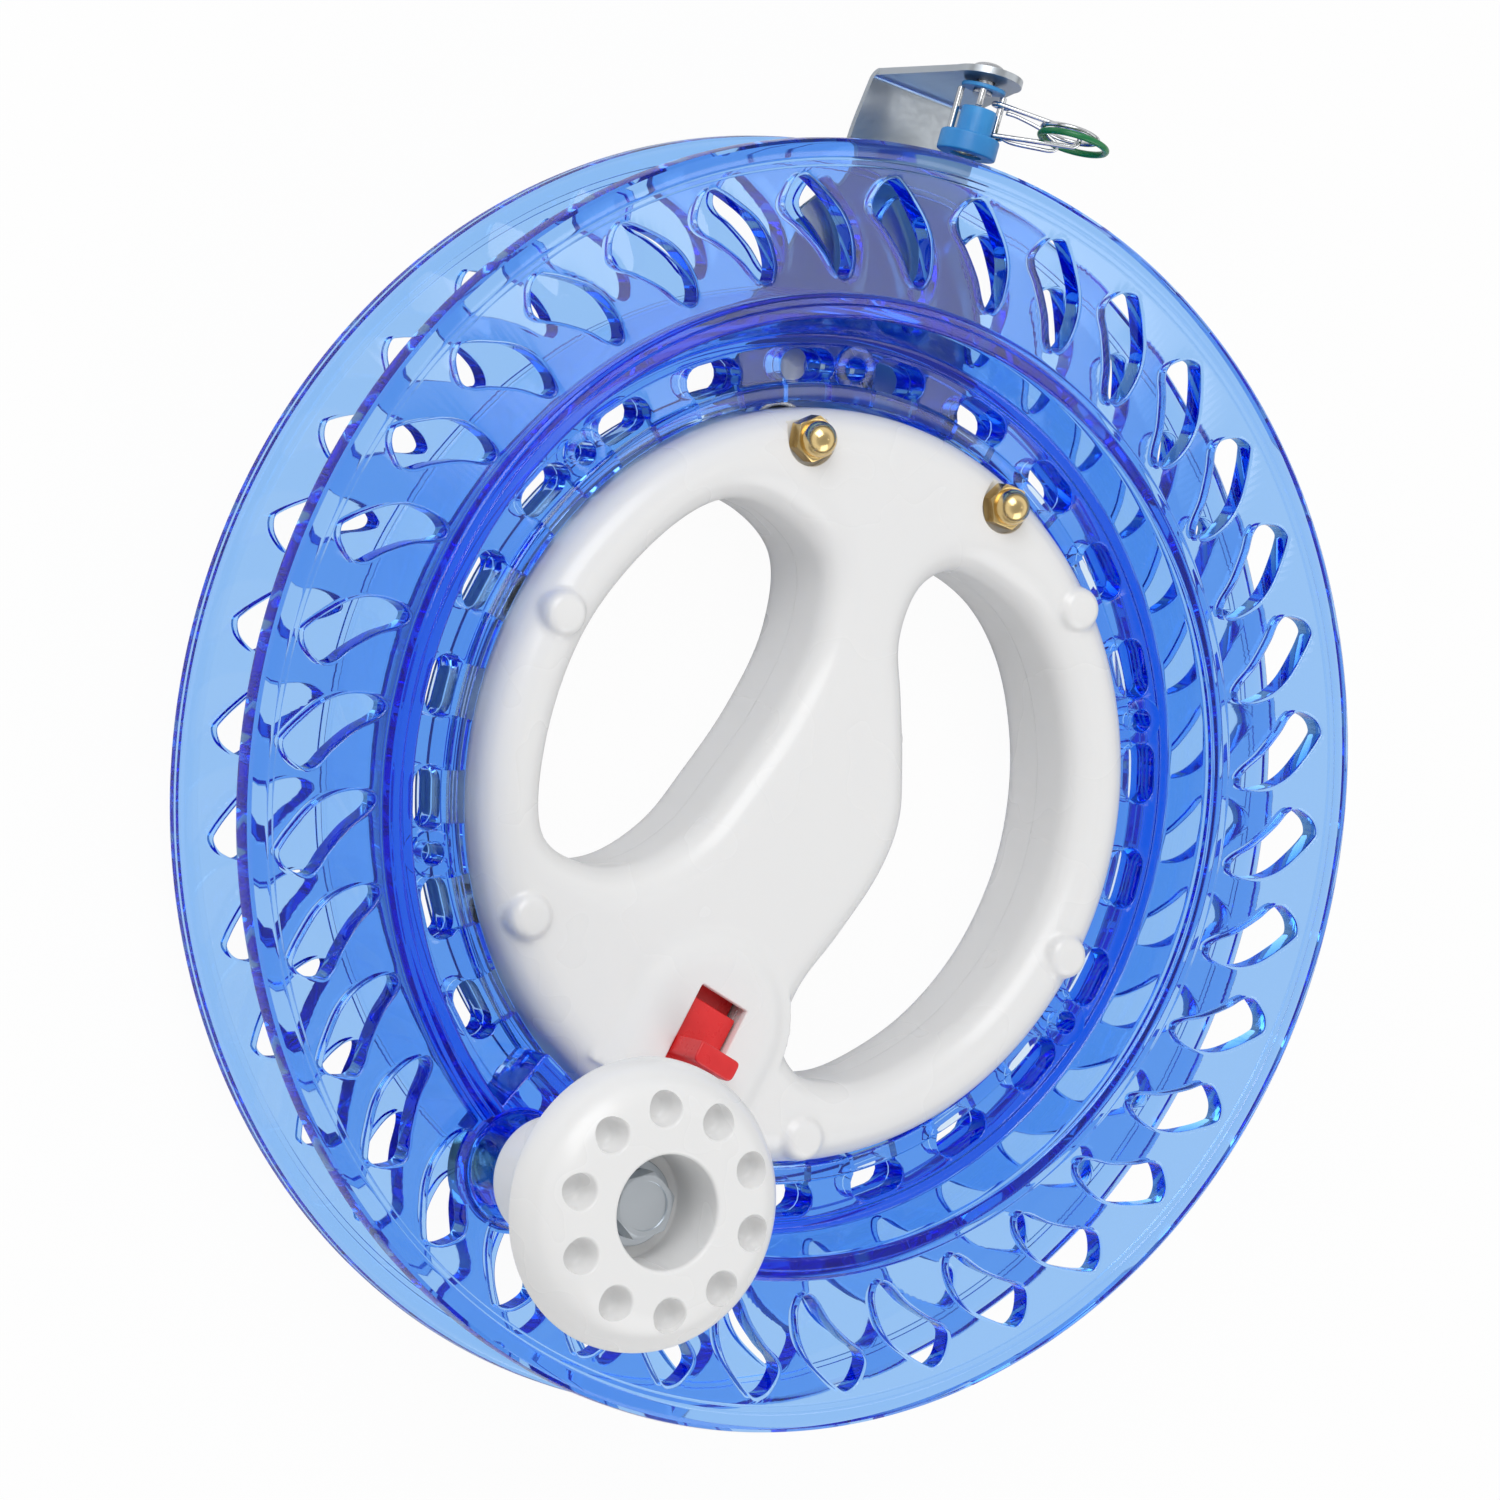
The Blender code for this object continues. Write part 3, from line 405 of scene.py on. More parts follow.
def makeMouldedWhite():
    finish = Finish("mouldedWhite", IOR=1.5, Subsurface_Weight=0.12, Subsurface_Scale=1.0,
                    Subsurface_Radius=(0.0022, 0.0020, 0.0018))
    cloud = finish.span(finish.noise(16.0, 2.0), 0.0, 1.0)
    finish.set("Base Color", finish.blend(cloud, rgb(0.858, 0.858, 0.856), rgb(0.848, 0.849, 0.851)))
    finish.set("Roughness", finish.span(finish.noise(40.0, 2.0), 0.24, 0.30))
    finish.bump(finish.noise(1500.0, 2.0), 0.02, 0.00002)
    return finish.material


def makeMetal(name, light, dark, roughLow, roughHigh, depth=0.05):
    # fine brushed lines, long in the direction with the small scale
    look = {"grain": 900.0, "stretch": (1.0, 1.0, 0.08)}
    finish = Finish(name, Metallic=1.0)
    drawn = finish.node("ShaderNodeMapping", {}, {"Vector": finish.place(), "Scale": look["stretch"]})
    lines = finish.noise(look["grain"], 3.0, 0.6, drawn)
    cloud = finish.noise(60.0)
    finish.set("Base Color", finish.blend(finish.span(cloud, 0.0, 1.0), light, dark))
    finish.set("Roughness", finish.span(lines * 0.7 + cloud * 0.3, roughLow, roughHigh))
    finish.bump(lines, depth, 0.00005)
    return finish.material


def makeColored(name, light, dark, roughLow, roughHigh, depth=0.05):
    finish = Finish(name, IOR=1.5)
    cloud = finish.noise(150.0, 4.0)
    finish.set("Base Color", finish.blend(finish.span(cloud, 0.0, 1.0), light, dark))
    finish.set("Roughness", finish.span(finish.noise(700.0), roughLow, roughHigh))
    finish.bump(finish.noise(1800.0, 2.0), depth, 0.0002)
    return finish.material


finishes = {
    "blue_clear": makeClearBlue(),
    "abs_white": makeMouldedWhite(),
    "steel": makeMetal("groundSteel", rgb(0.60, 0.61, 0.63), rgb(0.48, 0.49, 0.52), 0.22, 0.36),
    "chrome": makeMetal("chromedWire", rgb(0.70, 0.71, 0.73), rgb(0.56, 0.58, 0.60), 0.06, 0.14, depth=0.02),
    "zinc_plate": makeMetal("zincPlate", rgb(0.56, 0.60, 0.64), rgb(0.50, 0.54, 0.58), 0.28, 0.36, depth=0.012),
    "brass": makeMetal("turnedBrass", rgb(0.78, 0.60, 0.30), rgb(0.62, 0.44, 0.18), 0.14, 0.26),
    "red_plastic": makeColored("redPlastic", rgb(0.78, 0.026, 0.028), rgb(0.70, 0.018, 0.022), 0.26, 0.38),
    "guide_blue": makeColored("guideBluePlastic", rgb(0.045, 0.32, 0.72), rgb(0.03, 0.26, 0.64), 0.3, 0.42),
    "green_coat": makeColored("greenCoat", rgb(0.008, 0.20, 0.06), rgb(0.006, 0.15, 0.05), 0.22, 0.34),
}
sealBlack = makeColored("sealBlack", rgb(0.02, 0.02, 0.022), rgb(0.012, 0.012, 0.014), 0.35, 0.5)
print("stage: materials made")

slotOf = {entry["node"]: entry["material_slot"] for entry in frame["record"]["subparts"]}
for name, item in nodes.items():
    item.data.materials.clear()
    item.data.materials.append(finishes[slotOf[name]])


def dress(item, body, slot, *stands):
    item.data.materials.clear()
    item.data.materials.append(finishes[slot])
    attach(item, body)
    if stands:
        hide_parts(*stands)
    return item


# The spool wheel: two clear halves

crankCircle, crankAngle = 0.0847, -133.8
crankAxis = placed(crankCircle, crankAngle, midPlane)
wheelLook = {
    "steps": 540,
    "rim": 0.1100, "crest": 0.0145, "front": 0.0139, "back": 0.0094,
    "drum": 0.0836, "valley": 0.0804, "seam": 0.00015,
    "track": 0.0659, "trackHalf": 0.0023, "lip": 0.0654, "hub": 0.0686, "hubFront": 0.0060, "web": 0.0046,
    "teardrops": 36, "teardropStart": 4.15, "edge": 0.0006,
    "slots": 24, "slotCircle": 0.0714, "slotWidth": 0.0058, "slotLength": 0.0107,
    "windowWide": 0.0088, "windowLow": 0.0029, "windowHigh": 0.0051, "windowIn": 0.0630,
    "bosses": (127.5, 82.5, 7.5, -37.5, -97.5, -172.5), "boss": 0.00415, "bore": 0.0020,
    "bossRise": 0.0006, "bossLow": 0.0020,
    "seat": 0.0096, "seatTop": 0.0237, "seatWaist": 0.0150, "seatFlare": 0.0014, "seatLow": 0.0102,
    "insertHole": 0.0050, "blockEnd": 0.0672, "blockTop": 0.0143,
}
teardropKnots = (                      # radius and angle round one opening, from its head
    (0.1039, 0.0), (0.1027, 1.2), (0.0996, 2.15), (0.0975, 1.75), (0.0952, 0.2), (0.0914, -2.0),
    (0.0882, -3.4), (0.0869, -4.2), (0.0866, -4.8), (0.0871, -5.4), (0.0897, -5.8), (0.0940, -5.3),
    (0.0976, -4.1), (0.1010, -2.2), (0.1032, -0.8),
)


def wheelSection():
    w = wheelLook
    corners = [
        (0.1065, w["crest"], 0.0005), (w["rim"], w["crest"], 0.0016), (w["rim"], w["back"], 0.0014),
        (w["drum"], w["back"], 0.0008), (w["valley"], w["seam"], 0.0), (w["track"], w["seam"], 0.0),
        (w["track"], w["trackHalf"], 0.0001), (w["lip"], w["trackHalf"], 0.0001),
        (w["lip"], w["hubFront"], 0.0006), (w["hub"], w["hubFront"], 0.0008), (w["hub"], w["web"], 0.0004),
        (0.0750, w["web"], 0.0003), (0.0752, w["web"] + 0.0006, 0.0002), (0.0769, w["web"] + 0.0006, 0.0007),
        (0.0798, w["crest"] - 0.0003, 0.0003), (0.0802, w["crest"], 0.0002), (0.0820, w["crest"], 0.0002),
        (0.0822, w["crest"] - 0.0003, 0.0001), (0.0834, w["crest"] - 0.0003, 0.0003),
        (0.0838, w["front"], 0.0002), (0.1053, w["front"], 0.0002), (0.1055, w["front"] + 0.0003, 0.0001),
        (0.1063, w["front"] + 0.0003, 0.0001),
    ]
    return rounded(corners, 3)


def teardrop(angle):
    return softLoop([polar(radius, angle + turn) for radius, turn in teardropKnots], 5)


def slotOutline(angle):
    w = wheelLook
    turn = Matrix.Rotation(math.radians(angle), 2)
    points = []
    reach = (w["slotLength"] - w["slotWidth"]) / 2
    for side in (1, -1):
        for i in range(9):
            x, y = polar(w["slotWidth"] / 2, 180 * i / 8)
            spot = turn @ Vector((w["slotCircle"] + side * x, side * (reach + y)))
            points.append((spot.x, spot.y))
    return points


def wheelHalf(name, side):
    w = wheelLook
    lift = raised @ Matrix.Diagonal((1, 1, side, 1))
    half = spun(name, wheelSection(), w["steps"], lift)
    drops = [flared("drop", teardrop(w["teardropStart"] + 360 * i / w["teardrops"]), w["back"], w["front"],
                    w["edge"], 3, lift) for i in range(w["teardrops"])]
    slots = [flared("slot", slotOutline(360 * i / w["slots"]), -overlap, w["web"], 0.0004, 3, lift)
             for i in range(w["slots"])]
    spots = [lift @ placed(w["slotCircle"], angle) for angle in w["bosses"]]
    top, foot = w["web"] + w["bossRise"], w["bossLow"]
    post = rounded([(0.0, top, 0), (w["boss"], top, 0.0004), (w["boss"], foot, 0), (0.0, foot, 0)], 3, False)
    bosses = [spun("boss", post, 32, spot) for spot in spots]
    bores = [flared("bore", ringOf(w["bore"], 24), -overlap, top, 0.0003, 3, spot) for spot in spots]
    carve(half, [merged("bosses", bosses)], "UNION")
    carve(half, [merged("openings", drops + slots + bores)])
    if side > 0:
        addCrankSeat(half)
        wide = w["windowWide"] / 2
        low, high = (w["windowIn"], -wide, w["windowLow"]), (w["slotCircle"], wide, w["windowHigh"])
        windows = [brick("window", low, high, lift @ turned(360 * i / w["slots"])) for i in range(w["slots"])]
        carve(half, [merged("windows", windows)])
    shadeSoft(half)
    return half


def addCrankSeat(half):
    w = wheelLook
    seat, wide = w["seat"], w["seat"] + w["seatFlare"]
    top, low = w["seatTop"], w["seatLow"]
    section = rounded([(0.0, top, 0), (seat, top, 0.0006), (seat, w["seatWaist"], 0.0012),
                       (wide, w["front"] - 0.0004, 0), (wide, low, 0), (0.0, low, 0)], 4, False)
    reach = crankCircle - w["blockEnd"]
    outline = rounded([(0.0, -seat, 0), (reach, -seat, 0.0012), (reach, seat, 0.0012), (0.0, seat, 0)], 4)
    inward = crankAxis @ turned(crankAngle + 180)
    carve(half, [slab("block", [outline], w["web"] - 0.0008, w["blockTop"], 0.0005, 2, inward)], "UNION")
    carve(half, [spun("seat", section, 72, crankAxis)], "UNION")
    hole = ringOf(w["insertHole"], 40)
    carve(half, [flared("insertHole", hole, low - 0.0001, top, 0.0003, 3, crankAxis)])


dress(wheelHalf("wheelFrontShell", 1), "wheel", "blue_clear", "wheel_front")
dress(wheelHalf("wheelRearShell", -1), "wheel", "blue_clear", "wheel_rear")
print("stage: wheel made")


# The grip: two white shells, blended into soft moulded forms

lockSide = 0.0006                      # the lock stands this far beside its own radius
lockFrame = raised @ turned(-120.0)
gripLook = {
    "radius": 0.0643, "half": 0.0128, "edge": 0.0060, "arc": 0.0525, "voxel": 0.00050, "calm": 8,
    "rollerRoom": 0.0063, "pocketHalf": 0.0023, "nub": 0.0040, "nubTop": 0.0143, "nubLow": 0.0040,
    "boltHole": 0.0021, "nutSeat": 0.0110, "nutRoom": 0.0047, "bossSeat": 0.0050, "bossLow": 0.0150,
    "screwHole": 0.0021, "screwDeep": 0.0098, "recess": 0.0040, "recessDeep": 0.0031,
    "slotIn": 0.0394, "slotOut": 0.0562, "slotWide": 0.0102, "slotLow": 0.0110,
    "padTop": 0.0145, "padHalf": 0.0110, "padSkirt": 0.0060, "padCentre": 0.0445, "padEnd": 0.0600,
    "channelIn": 0.0327, "channelOut": 0.0595, "channelLow": 0.0029, "channelTop": 0.0129,
    "tongueIn": 0.0560, "tongueHalf": 0.0041, "tongueTop": 0.0051, "seam": 0.00003,
}
leftKnots = [polar(gripLook["arc"], angle) for angle in (186, 168, 148, 128, 112)] + [
    (-0.0085, 0.0474), (0.0011, 0.0386), (0.0002, 0.0257), (-0.0065, 0.0130), (-0.0151, 0.0020),
    (-0.0228, -0.0063), (-0.0330, -0.0117), (-0.0430, -0.0117)]
rightKnots = [polar(gripLook["arc"], angle) for angle in (21, 5, -10, -24, -39, -55, -71)] + [
    (0.0080, -0.0512), (-0.0005, -0.0492), (-0.0043, -0.0430), (-0.0012, -0.0345), (0.0064, -0.0258),
    (0.0142, -0.0158), (0.0183, -0.0064), (0.0187, 0.0040), (0.0180, 0.0150), (0.0174, 0.0250),
    (0.0215, 0.0338), (0.0300, 0.0362), (0.0416, 0.0297)]
ridgeKnots = [(0.0150, 0.0150), (0.0150, 0.0000), (0.0186, 0.0004), (0.0199, 0.0050), (0.0205, 0.0076),
              (0.0198, 0.0096), (0.0184, 0.0130)]


def lockPad():
    # a low mound round the lock's slot
    g = gripLook
    rings = []
    for j in range(9):
        t = j / 8
        rise = (1 - math.cos(math.pi * t)) / 2
        half = g["padHalf"] + g["padSkirt"] * (1 - t)
        height = g["half"] - 0.0001 + (g["padTop"] - g["half"]) * rise
        ring = [polar(half, 90 + 180 * i / 24, (g["padCentre"], lockSide)) for i in range(25)]
        ring += [(g["padEnd"], lockSide - half), (g["padEnd"], lockSide + half)]
        if j == 0:
            rings.append([(x, y, g["half"] - 0.003) for x, y in ring])
        rings.append([(x, y, height) for x, y in ring])
    return layered("pad", rings, lockFrame)


def softGrip():
    g = gripLook
    outlines = [ringOf(g["radius"], 240), softLoop(leftKnots, 10)[::-1], softLoop(rightKnots, 10)[::-1]]
    body = slab("gripBody", outlines, -g["half"], g["half"], g["edge"], 9, raised)
    extras = [lockPad(), slab("ridge", [softLoop(ridgeKnots, 6)], -0.0070, 0.0070, 0.0015, 5, raised)]
    dome = rounded([(0.0, g["nubTop"], 0), (g["nub"], g["nubTop"], 0.0026), (g["nub"], g["nubLow"], 0),
                    (0.0, g["nubLow"], 0)], 8, False)
    extras += [spun("nub", dome, 40, rollerSpot(angle)) for angle in rollerAngles[1:]]
    extras += [bar("boss", g["bossSeat"], -g["bossLow"], -0.006, 40, rollerSpot(angle)) for angle in boltAngles]
    carve(body, extras, "UNION")
    bend(body, "REMESH", mode="VOXEL", voxel_size=g["voxel"], use_smooth_shade=True)
    bend(body, "SMOOTH", factor=0.5, iterations=g["calm"])
    return settle(body)


def gripCuts():
    g = gripLook
    room, outside = g["rollerRoom"], g["radius"] + 0.002
    outline = [polar(room, 90 + 180 * i / 20, (rollerCircle, 0.0)) for i in range(21)]
    outline += [(outside, -room), (outside, room)]
    cuts = [prism("pocket", outline, -g["pocketHalf"], g["pocketHalf"], raised @ turned(angle))
            for angle in rollerAngles]
    for spot in map(rollerSpot, boltAngles):
        cuts.append(flared("seat", ringOf(g["nutRoom"], 40), g["nutSeat"], g["half"] + 0.0001, 0.0003, 3, spot))
        cuts.append(bar("hole", g["boltHole"], -0.016, 0.013, 24, spot))
    recess = g["recessDeep"] - g["half"]
    section = [(0.0, g["screwDeep"]), (g["screwHole"], g["screwDeep"]), (g["screwHole"], recess),
               (g["recess"], recess), (g["recess"], -0.014), (0.0, -0.014)]
    cuts += [spun("screw", section, 32, rollerSpot(angle)) for angle in rollerAngles[1:]]
    left, right = lockSide - g["slotWide"] / 2, lockSide + g["slotWide"] / 2
    slot = rounded([(g["slotIn"], left, 0.0004), (g["slotOut"], left, 0.0010),
                    (g["slotOut"], right, 0.0004), (g["slotIn"], right, 0.0004)], 5)
    cuts.append(flared("slot", slot, g["slotLow"], g["padTop"] - 0.0001, 0.0004, 4, lockFrame))
    cuts.append(brick("channel", (g["channelIn"], left - hairline, g["channelLow"]),
                      (g["channelOut"], right + hairline, g["channelTop"]), lockFrame))
    cuts.append(brick("tongueWay", (g["tongueIn"], -g["tongueHalf"], g["channelLow"]),
                      (outside, g["tongueHalf"], g["tongueTop"]), lockFrame))
    return cuts


def shellOf(name, body, side):
    # one side of the body, closed by a flat face along the parting line
    bm = bmesh.new()
    bm.from_mesh(body.data)
    level = Vector((0, 0, midPlane + side * gripLook["seam"]))
    bmesh.ops.bisect_plane(bm, geom=bm.verts[:] + bm.edges[:] + bm.faces[:], plane_co=level,
                           plane_no=(0, 0, side), clear_inner=True)
    rim = [edge for edge in bm.edges if edge.is_boundary]
    bmesh.ops.triangle_fill(bm, use_beauty=True, edges=rim, normal=(0, 0, -side))
    bmesh.ops.recalc_face_normals(bm, faces=bm.faces)
    mesh = bpy.data.meshes.new(name)
    bm.to_mesh(mesh)
    bm.free()
    return newObject(name, mesh)


def makeGrip():
    body = softGrip()
    carve(body, gripCuts())
    for name, node, side in (("gripFrontShell", "grip_front", 1), ("gripRearShell", "grip_rear", -1)):
        shell = shellOf(name, body, side)
        shadeSoft(shell, 40, weighted=False)
        dress(shell, "grip", "abs_white", node)
    bpy.data.objects.remove(body)


makeGrip()
print("stage: grip made")


# The crank knob and its bolt

knobLook = {
    "low": 0.0240, "top": 0.0630, "radius": 0.0239, "rimLow": 0.0530,
    "flat": 0.0156, "crown": 0.0088,   # radius where the top starts to bend down, and how far it does
    "stem": 0.0100, "waist": 0.0091, "bore": 0.0048, "counterbore": 0.0093, "floor": 0.0500,
    "dimples": 10, "dimpleCircle": 0.0168, "dimple": 0.0030, "dimpleDeep": 0.0045, "dimpleStart": 20.8,
    "dimpleFloor": 0.86, "dimpleLip": 0.0009,
}


def makeKnob():
    k = knobLook
    top, crown = k["top"], []
    for i in range(1, 17):
        x, z = polar(1.0, 90 - 90 * i / 17)
        crown.append((k["flat"] + (k["radius"] - k["flat"]) * x, top - k["crown"] * (1 - z), 0))
    section = [(k["counterbore"], k["floor"], 0.0004), (k["counterbore"], top, 0.0009), (k["flat"], top, 0)]
    section += crown + [
        (k["radius"], top - k["crown"], 0), (k["radius"], k["rimLow"], 0.0022),
        (k["stem"] + 0.0036, k["rimLow"] - 0.0005, 0.003), (k["waist"], k["rimLow"] - 0.0060, 0.005),
        (k["waist"] + 0.0001, k["low"] + 0.0080, 0.004), (k["stem"], k["low"] + 0.0030, 0.002),
        (k["stem"] + 0.0004, k["low"], 0.0008), (k["bore"], k["low"], 0.0003), (k["bore"], k["floor"], 0.0003)]
    knob = spun("crankKnobShell", rounded(section, 7), 144, crankAxis)
    deep, wide = top - k["dimpleDeep"], k["dimple"] + k["dimpleLip"]
    pit = rounded([(0.0, deep, 0), (k["dimple"] * k["dimpleFloor"], deep, 0.0019), (k["dimple"], top, 0.0007),
                   (wide, top + 0.00002, 0), (wide, top + overlap, 0), (0.0, top + overlap, 0)], 7, False)
    angles = [k["dimpleStart"] + 360 * i / k["dimples"] for i in range(k["dimples"])]
    cuts = [spun("dimple", pit, 32, crankAxis @ placed(k["dimpleCircle"], angle)) for angle in angles]
    carve(knob, [merged("dimples", cuts)])
    shadeSoft(knob, 35)
    dress(knob, "knob", "abs_white", "crank_knob")


makeKnob()
print("stage: knob made")


# Turned, six-sided and slotted hardware

def hexed(name, flats, low, high, start, matrix, chamfer=0.30):
    # a six-sided bar whose ends are cut back by a cone, as on a real nut or bolt head
    corner = flats / 2 / math.cos(math.radians(30))
    outline = rounded([(*spot, 0.0002) for spot in ringOf(corner, 6, start=start)], 2)
    body = prism(name, outline, low, high, matrix)
    drop = (corner - flats * 0.485) * 0.62
    cone = spun("cone", [(0.0, high + 0.00001), (flats * 0.475, high + 0.00001), (corner + 0.0002, high - drop),
                         (corner + 0.0002, low + drop * chamfer), (flats * 0.485, low - 0.00001),
                         (0.0, low - 0.00001)], 64, matrix)
    return carve(body, [cone], "INTERSECT")


def crossCut(cross, low, matrix):
    # the driver's cross in a screw head: half its arms' width, their reach and depth
    wide, reach, deep = cross
    return [brick("arm", (-x, -y, low - overlap), (x, y, low + deep), matrix)
            for x, y in ((reach, wide), (wide, reach))]


bearingLook = {
    "radius": 0.0060, "half": 0.0020, "edge": 0.00025, "outerWall": 0.0050, "innerWall": 0.0031, "bore": 0.0021,
    "seal": 0.0017, "sealMiddle": 0.0040,
}


def makeBearings():
    b = bearingLook
    half, seal, edges = b["half"], b["seal"], [b["edge"]] * 4
    outer = tube(b["outerWall"], b["radius"], -half, half, edges)
    inner = tube(b["bore"], b["innerWall"], -half, half, edges)
    upper = [(b["innerWall"] + 0.0001, seal, 0), (b["sealMiddle"], seal + 0.0001, 0.0003),
             (b["outerWall"], seal, 0)]
    disc = rounded(upper + [(x, -z, soft) for x, z, soft in upper[::-1]], 3)
    for i, spot in enumerate(map(rollerSpot, rollerAngles), start=1):
        dress(shadeSoft(spun(f"rollerRing{i}", outer, 64, spot)), f"roller_{i}", "steel", f"bearing_outer_{i}")
        dress(shadeSoft(spun(f"rollerHub{i}", inner, 40, spot)), "grip", "steel", f"bearing_inner_{i}")
        seals = shadeSoft(spun(f"rollerSeal{i}", disc, 48, spot))
        dress(seals, f"roller_{i}", "steel")
        seals.data.materials[0] = sealBlack


hardwareLook = {
    "nutFlats": 0.0070, "nutBase": 0.0112, "nutHex": 0.0030, "nutTop": 0.0178,
    "nutDome": 0.0031, "nutTurn": (20, 40), "nutBore": 0.0021, "nutStep": 0.0006,
    "shank": 0.0018, "shankTop": 0.0152,
    "boltSeat": -0.0168, "boltHead": 0.0038, "boltLow": -0.0191, "boltCross": (0.0005, 0.0021, 0.0013),
    "screwTop": 0.0095, "screwSeat": -0.0100, "screwHead": 0.0034, "screwLow": -0.0124,
    "screwCross": (0.00045, 0.0019, 0.0012),
}


def makeNuts():
    h = hardwareLook
    for i, spot in enumerate(map(rollerSpot, boltAngles), start=1):
        top = h["nutBase"] + h["nutHex"]
        nut = hexed(f"capNut{i}", h["nutFlats"], h["nutBase"], top, h["nutTurn"][i - 1], spot)
        dome = [(0.0, h["nutTop"])]
        for j in range(1, 15):
            x, z = polar(1.0, 90 - 90 * j / 14)
            dome.append((h["nutDome"] * x, top + h["nutStep"] + (h["nutTop"] - top - h["nutStep"]) * z))
        dome += [(h["nutDome"], top - overlap), (0.0, top - overlap)]
        carve(nut, [spun("dome", dome, 64, spot)], "UNION")
        carve(nut, [bar("bore", h["nutBore"], 0.0100, h["shankTop"] + hairline, 24, spot)])
        dress(shadeSoft(nut, 28), "grip", "brass", f"cap_nut_{i}")
        shank = rounded([(0.0, h["shankTop"], 0), (h["shank"], h["shankTop"], 0.0003),
                         (h["shank"], h["boltSeat"], 0), (h["boltHead"], h["boltSeat"], 0.0002),
                         (h["boltHead"], h["boltLow"], 0.0012), (0.0, h["boltLow"], 0)], 6, False)
        bolt = spun(f"bracketBolt{i}", shank, 48, spot)
        carve(bolt, crossCut(h["boltCross"], h["boltLow"], spot))
        dress(shadeSoft(bolt, 32), "grip", "steel", f"bracket_bolt_{i}")


def makeGripScrews():
    h = hardwareLook
    section = rounded([(0.0, h["screwTop"], 0), (h["shank"], h["screwTop"] - 0.0014, 0.0003),
                       (h["shank"], h["screwSeat"], 0), (h["screwHead"], h["screwSeat"], 0.0002),
                       (h["screwHead"], h["screwLow"], 0.0014), (0.0, h["screwLow"], 0)], 6, False)
    for i, spot in enumerate(map(rollerSpot, rollerAngles[1:]), start=1):
        screw = spun(f"gripScrew{i}", section, 40, spot)
        carve(screw, crossCut(h["screwCross"], h["screwLow"], spot @ turned(25 * i)))
        dress(shadeSoft(screw, 32), "grip", "steel", f"grip_screw_{i}")


crankLook = {
    "head": 0.0100, "headLow": 0.0518, "headHigh": 0.0558, "headTurn": 12, "dish": 0.00035,
    "shank": 0.0030, "reach": 0.0124,  # the reach is the lower end's height
    "washer": (0.0033, 0.0072, 0.0503, 0.0515), "sleeve": (0.0033, 0.0045, 0.0240, 0.0500),
    "insert": (0.0033, 0.0047, 0.0104, 0.0234),     # inner and outer radius, low and high end
}


def makeCrankHardware():
    c = crankLook
    head = hexed("crankBolt", c["head"], c["headLow"], c["headHigh"], c["headTurn"], crankAxis, 0.2)
    top, foot, wide = c["headLow"] + overlap, c["reach"], c["shank"]
    shank = rounded([(0.0, top, 0), (wide, top, 0), (wide, foot, 0.0006), (0.0, foot, 0)], 4, False)
    carve(head, [spun("shank", shank, 40, crankAxis)], "UNION")
    floor, mouth = c["headHigh"] - c["dish"], c["headHigh"] + overlap
    dish = [(0.0, floor), (c["head"] * 0.40, floor), (c["head"] * 0.43, mouth), (0.0, mouth)]
    carve(head, [spun("dish", dish, 56, crankAxis)])
    dress(shadeSoft(head, 28), "wheel", "zinc_plate", "crank_bolt")
    washer = tube(*c["washer"], (0.0002, 0.0003, 0.0003, 0.0002))
    dress(shadeSoft(spun("crankWasher", washer, 64, crankAxis)), "wheel", "zinc_plate", "crank_washer")
    sleeve = tube(*c["sleeve"], [0.0002] * 4, 2)
    dress(shadeSoft(spun("crankSleeve", sleeve, 48, crankAxis)), "wheel", "steel", "crank_sleeve")
    insert = tube(*c["insert"], (0.0002, 0.0002, 0.0003, 0.0002), 2)
    dress(shadeSoft(spun("crankInsert", insert, 48, crankAxis)), "wheel", "brass", "crank_insert")


makeBearings()
makeNuts()
makeGripScrews()
makeCrankHardware()
print("stage: bearings and screws made")


# The lock's red slide

lockLook = {
    "wide": 0.0098, "heel": 0.0375, "inner": 0.0416, "outer": 0.0560,
    "low": 0.0032, "step": 0.0096, "top": 0.0126, "finOut": 0.0527, "finThick": 0.0038, "finWide": 0.0086,
    "finTop": 0.0224, "tongueWide": 0.0076, "tongueTop": 0.0048, "tongueEnd": 0.0646,
}


def makeLock():
    k = lockLook
    left, right = lockSide - k["wide"] / 2, lockSide + k["wide"] / 2
    side = lockFrame @ turned(90, "X")     # the section is drawn along the slide, then widened
    section = [(k["heel"], k["low"], 0.0002), (k["outer"], k["low"], 0.0002), (k["outer"], k["top"], 0.0005),
               (k["inner"], k["top"], 0.0004), (k["inner"], k["step"], 0.0006), (k["heel"], k["step"], 0.0004)]
    slide = slab("lockSlide", [rounded(section, 4)], -right, -left, 0.0003, 3, side)
    finIn, finRight = k["finOut"] - k["finThick"], left + k["finWide"]
    fin = [(finIn, left, 0.0004), (k["finOut"], left, 0.0014), (k["finOut"], finRight, 0.0014),
           (finIn, finRight, 0.0010)]
    tab = slab("fin", [rounded(fin, 5)], k["top"] - 0.0012, k["finTop"], 0.0004, 3, lockFrame)
    tongue = brick("tongue", (k["outer"] - overlap, -k["tongueWide"] / 2, k["low"]),
                   (k["tongueEnd"], k["tongueWide"] / 2, k["tongueTop"]), lockFrame, 0.0003)
    carve(slide, [tab, tongue], "UNION")
    shadeSoft(slide, 30)
    dress(slide, "lock", "red_plastic", "lock_slider")


makeLock()
print("stage: lock made")


# The bent bracket and the line guide on it

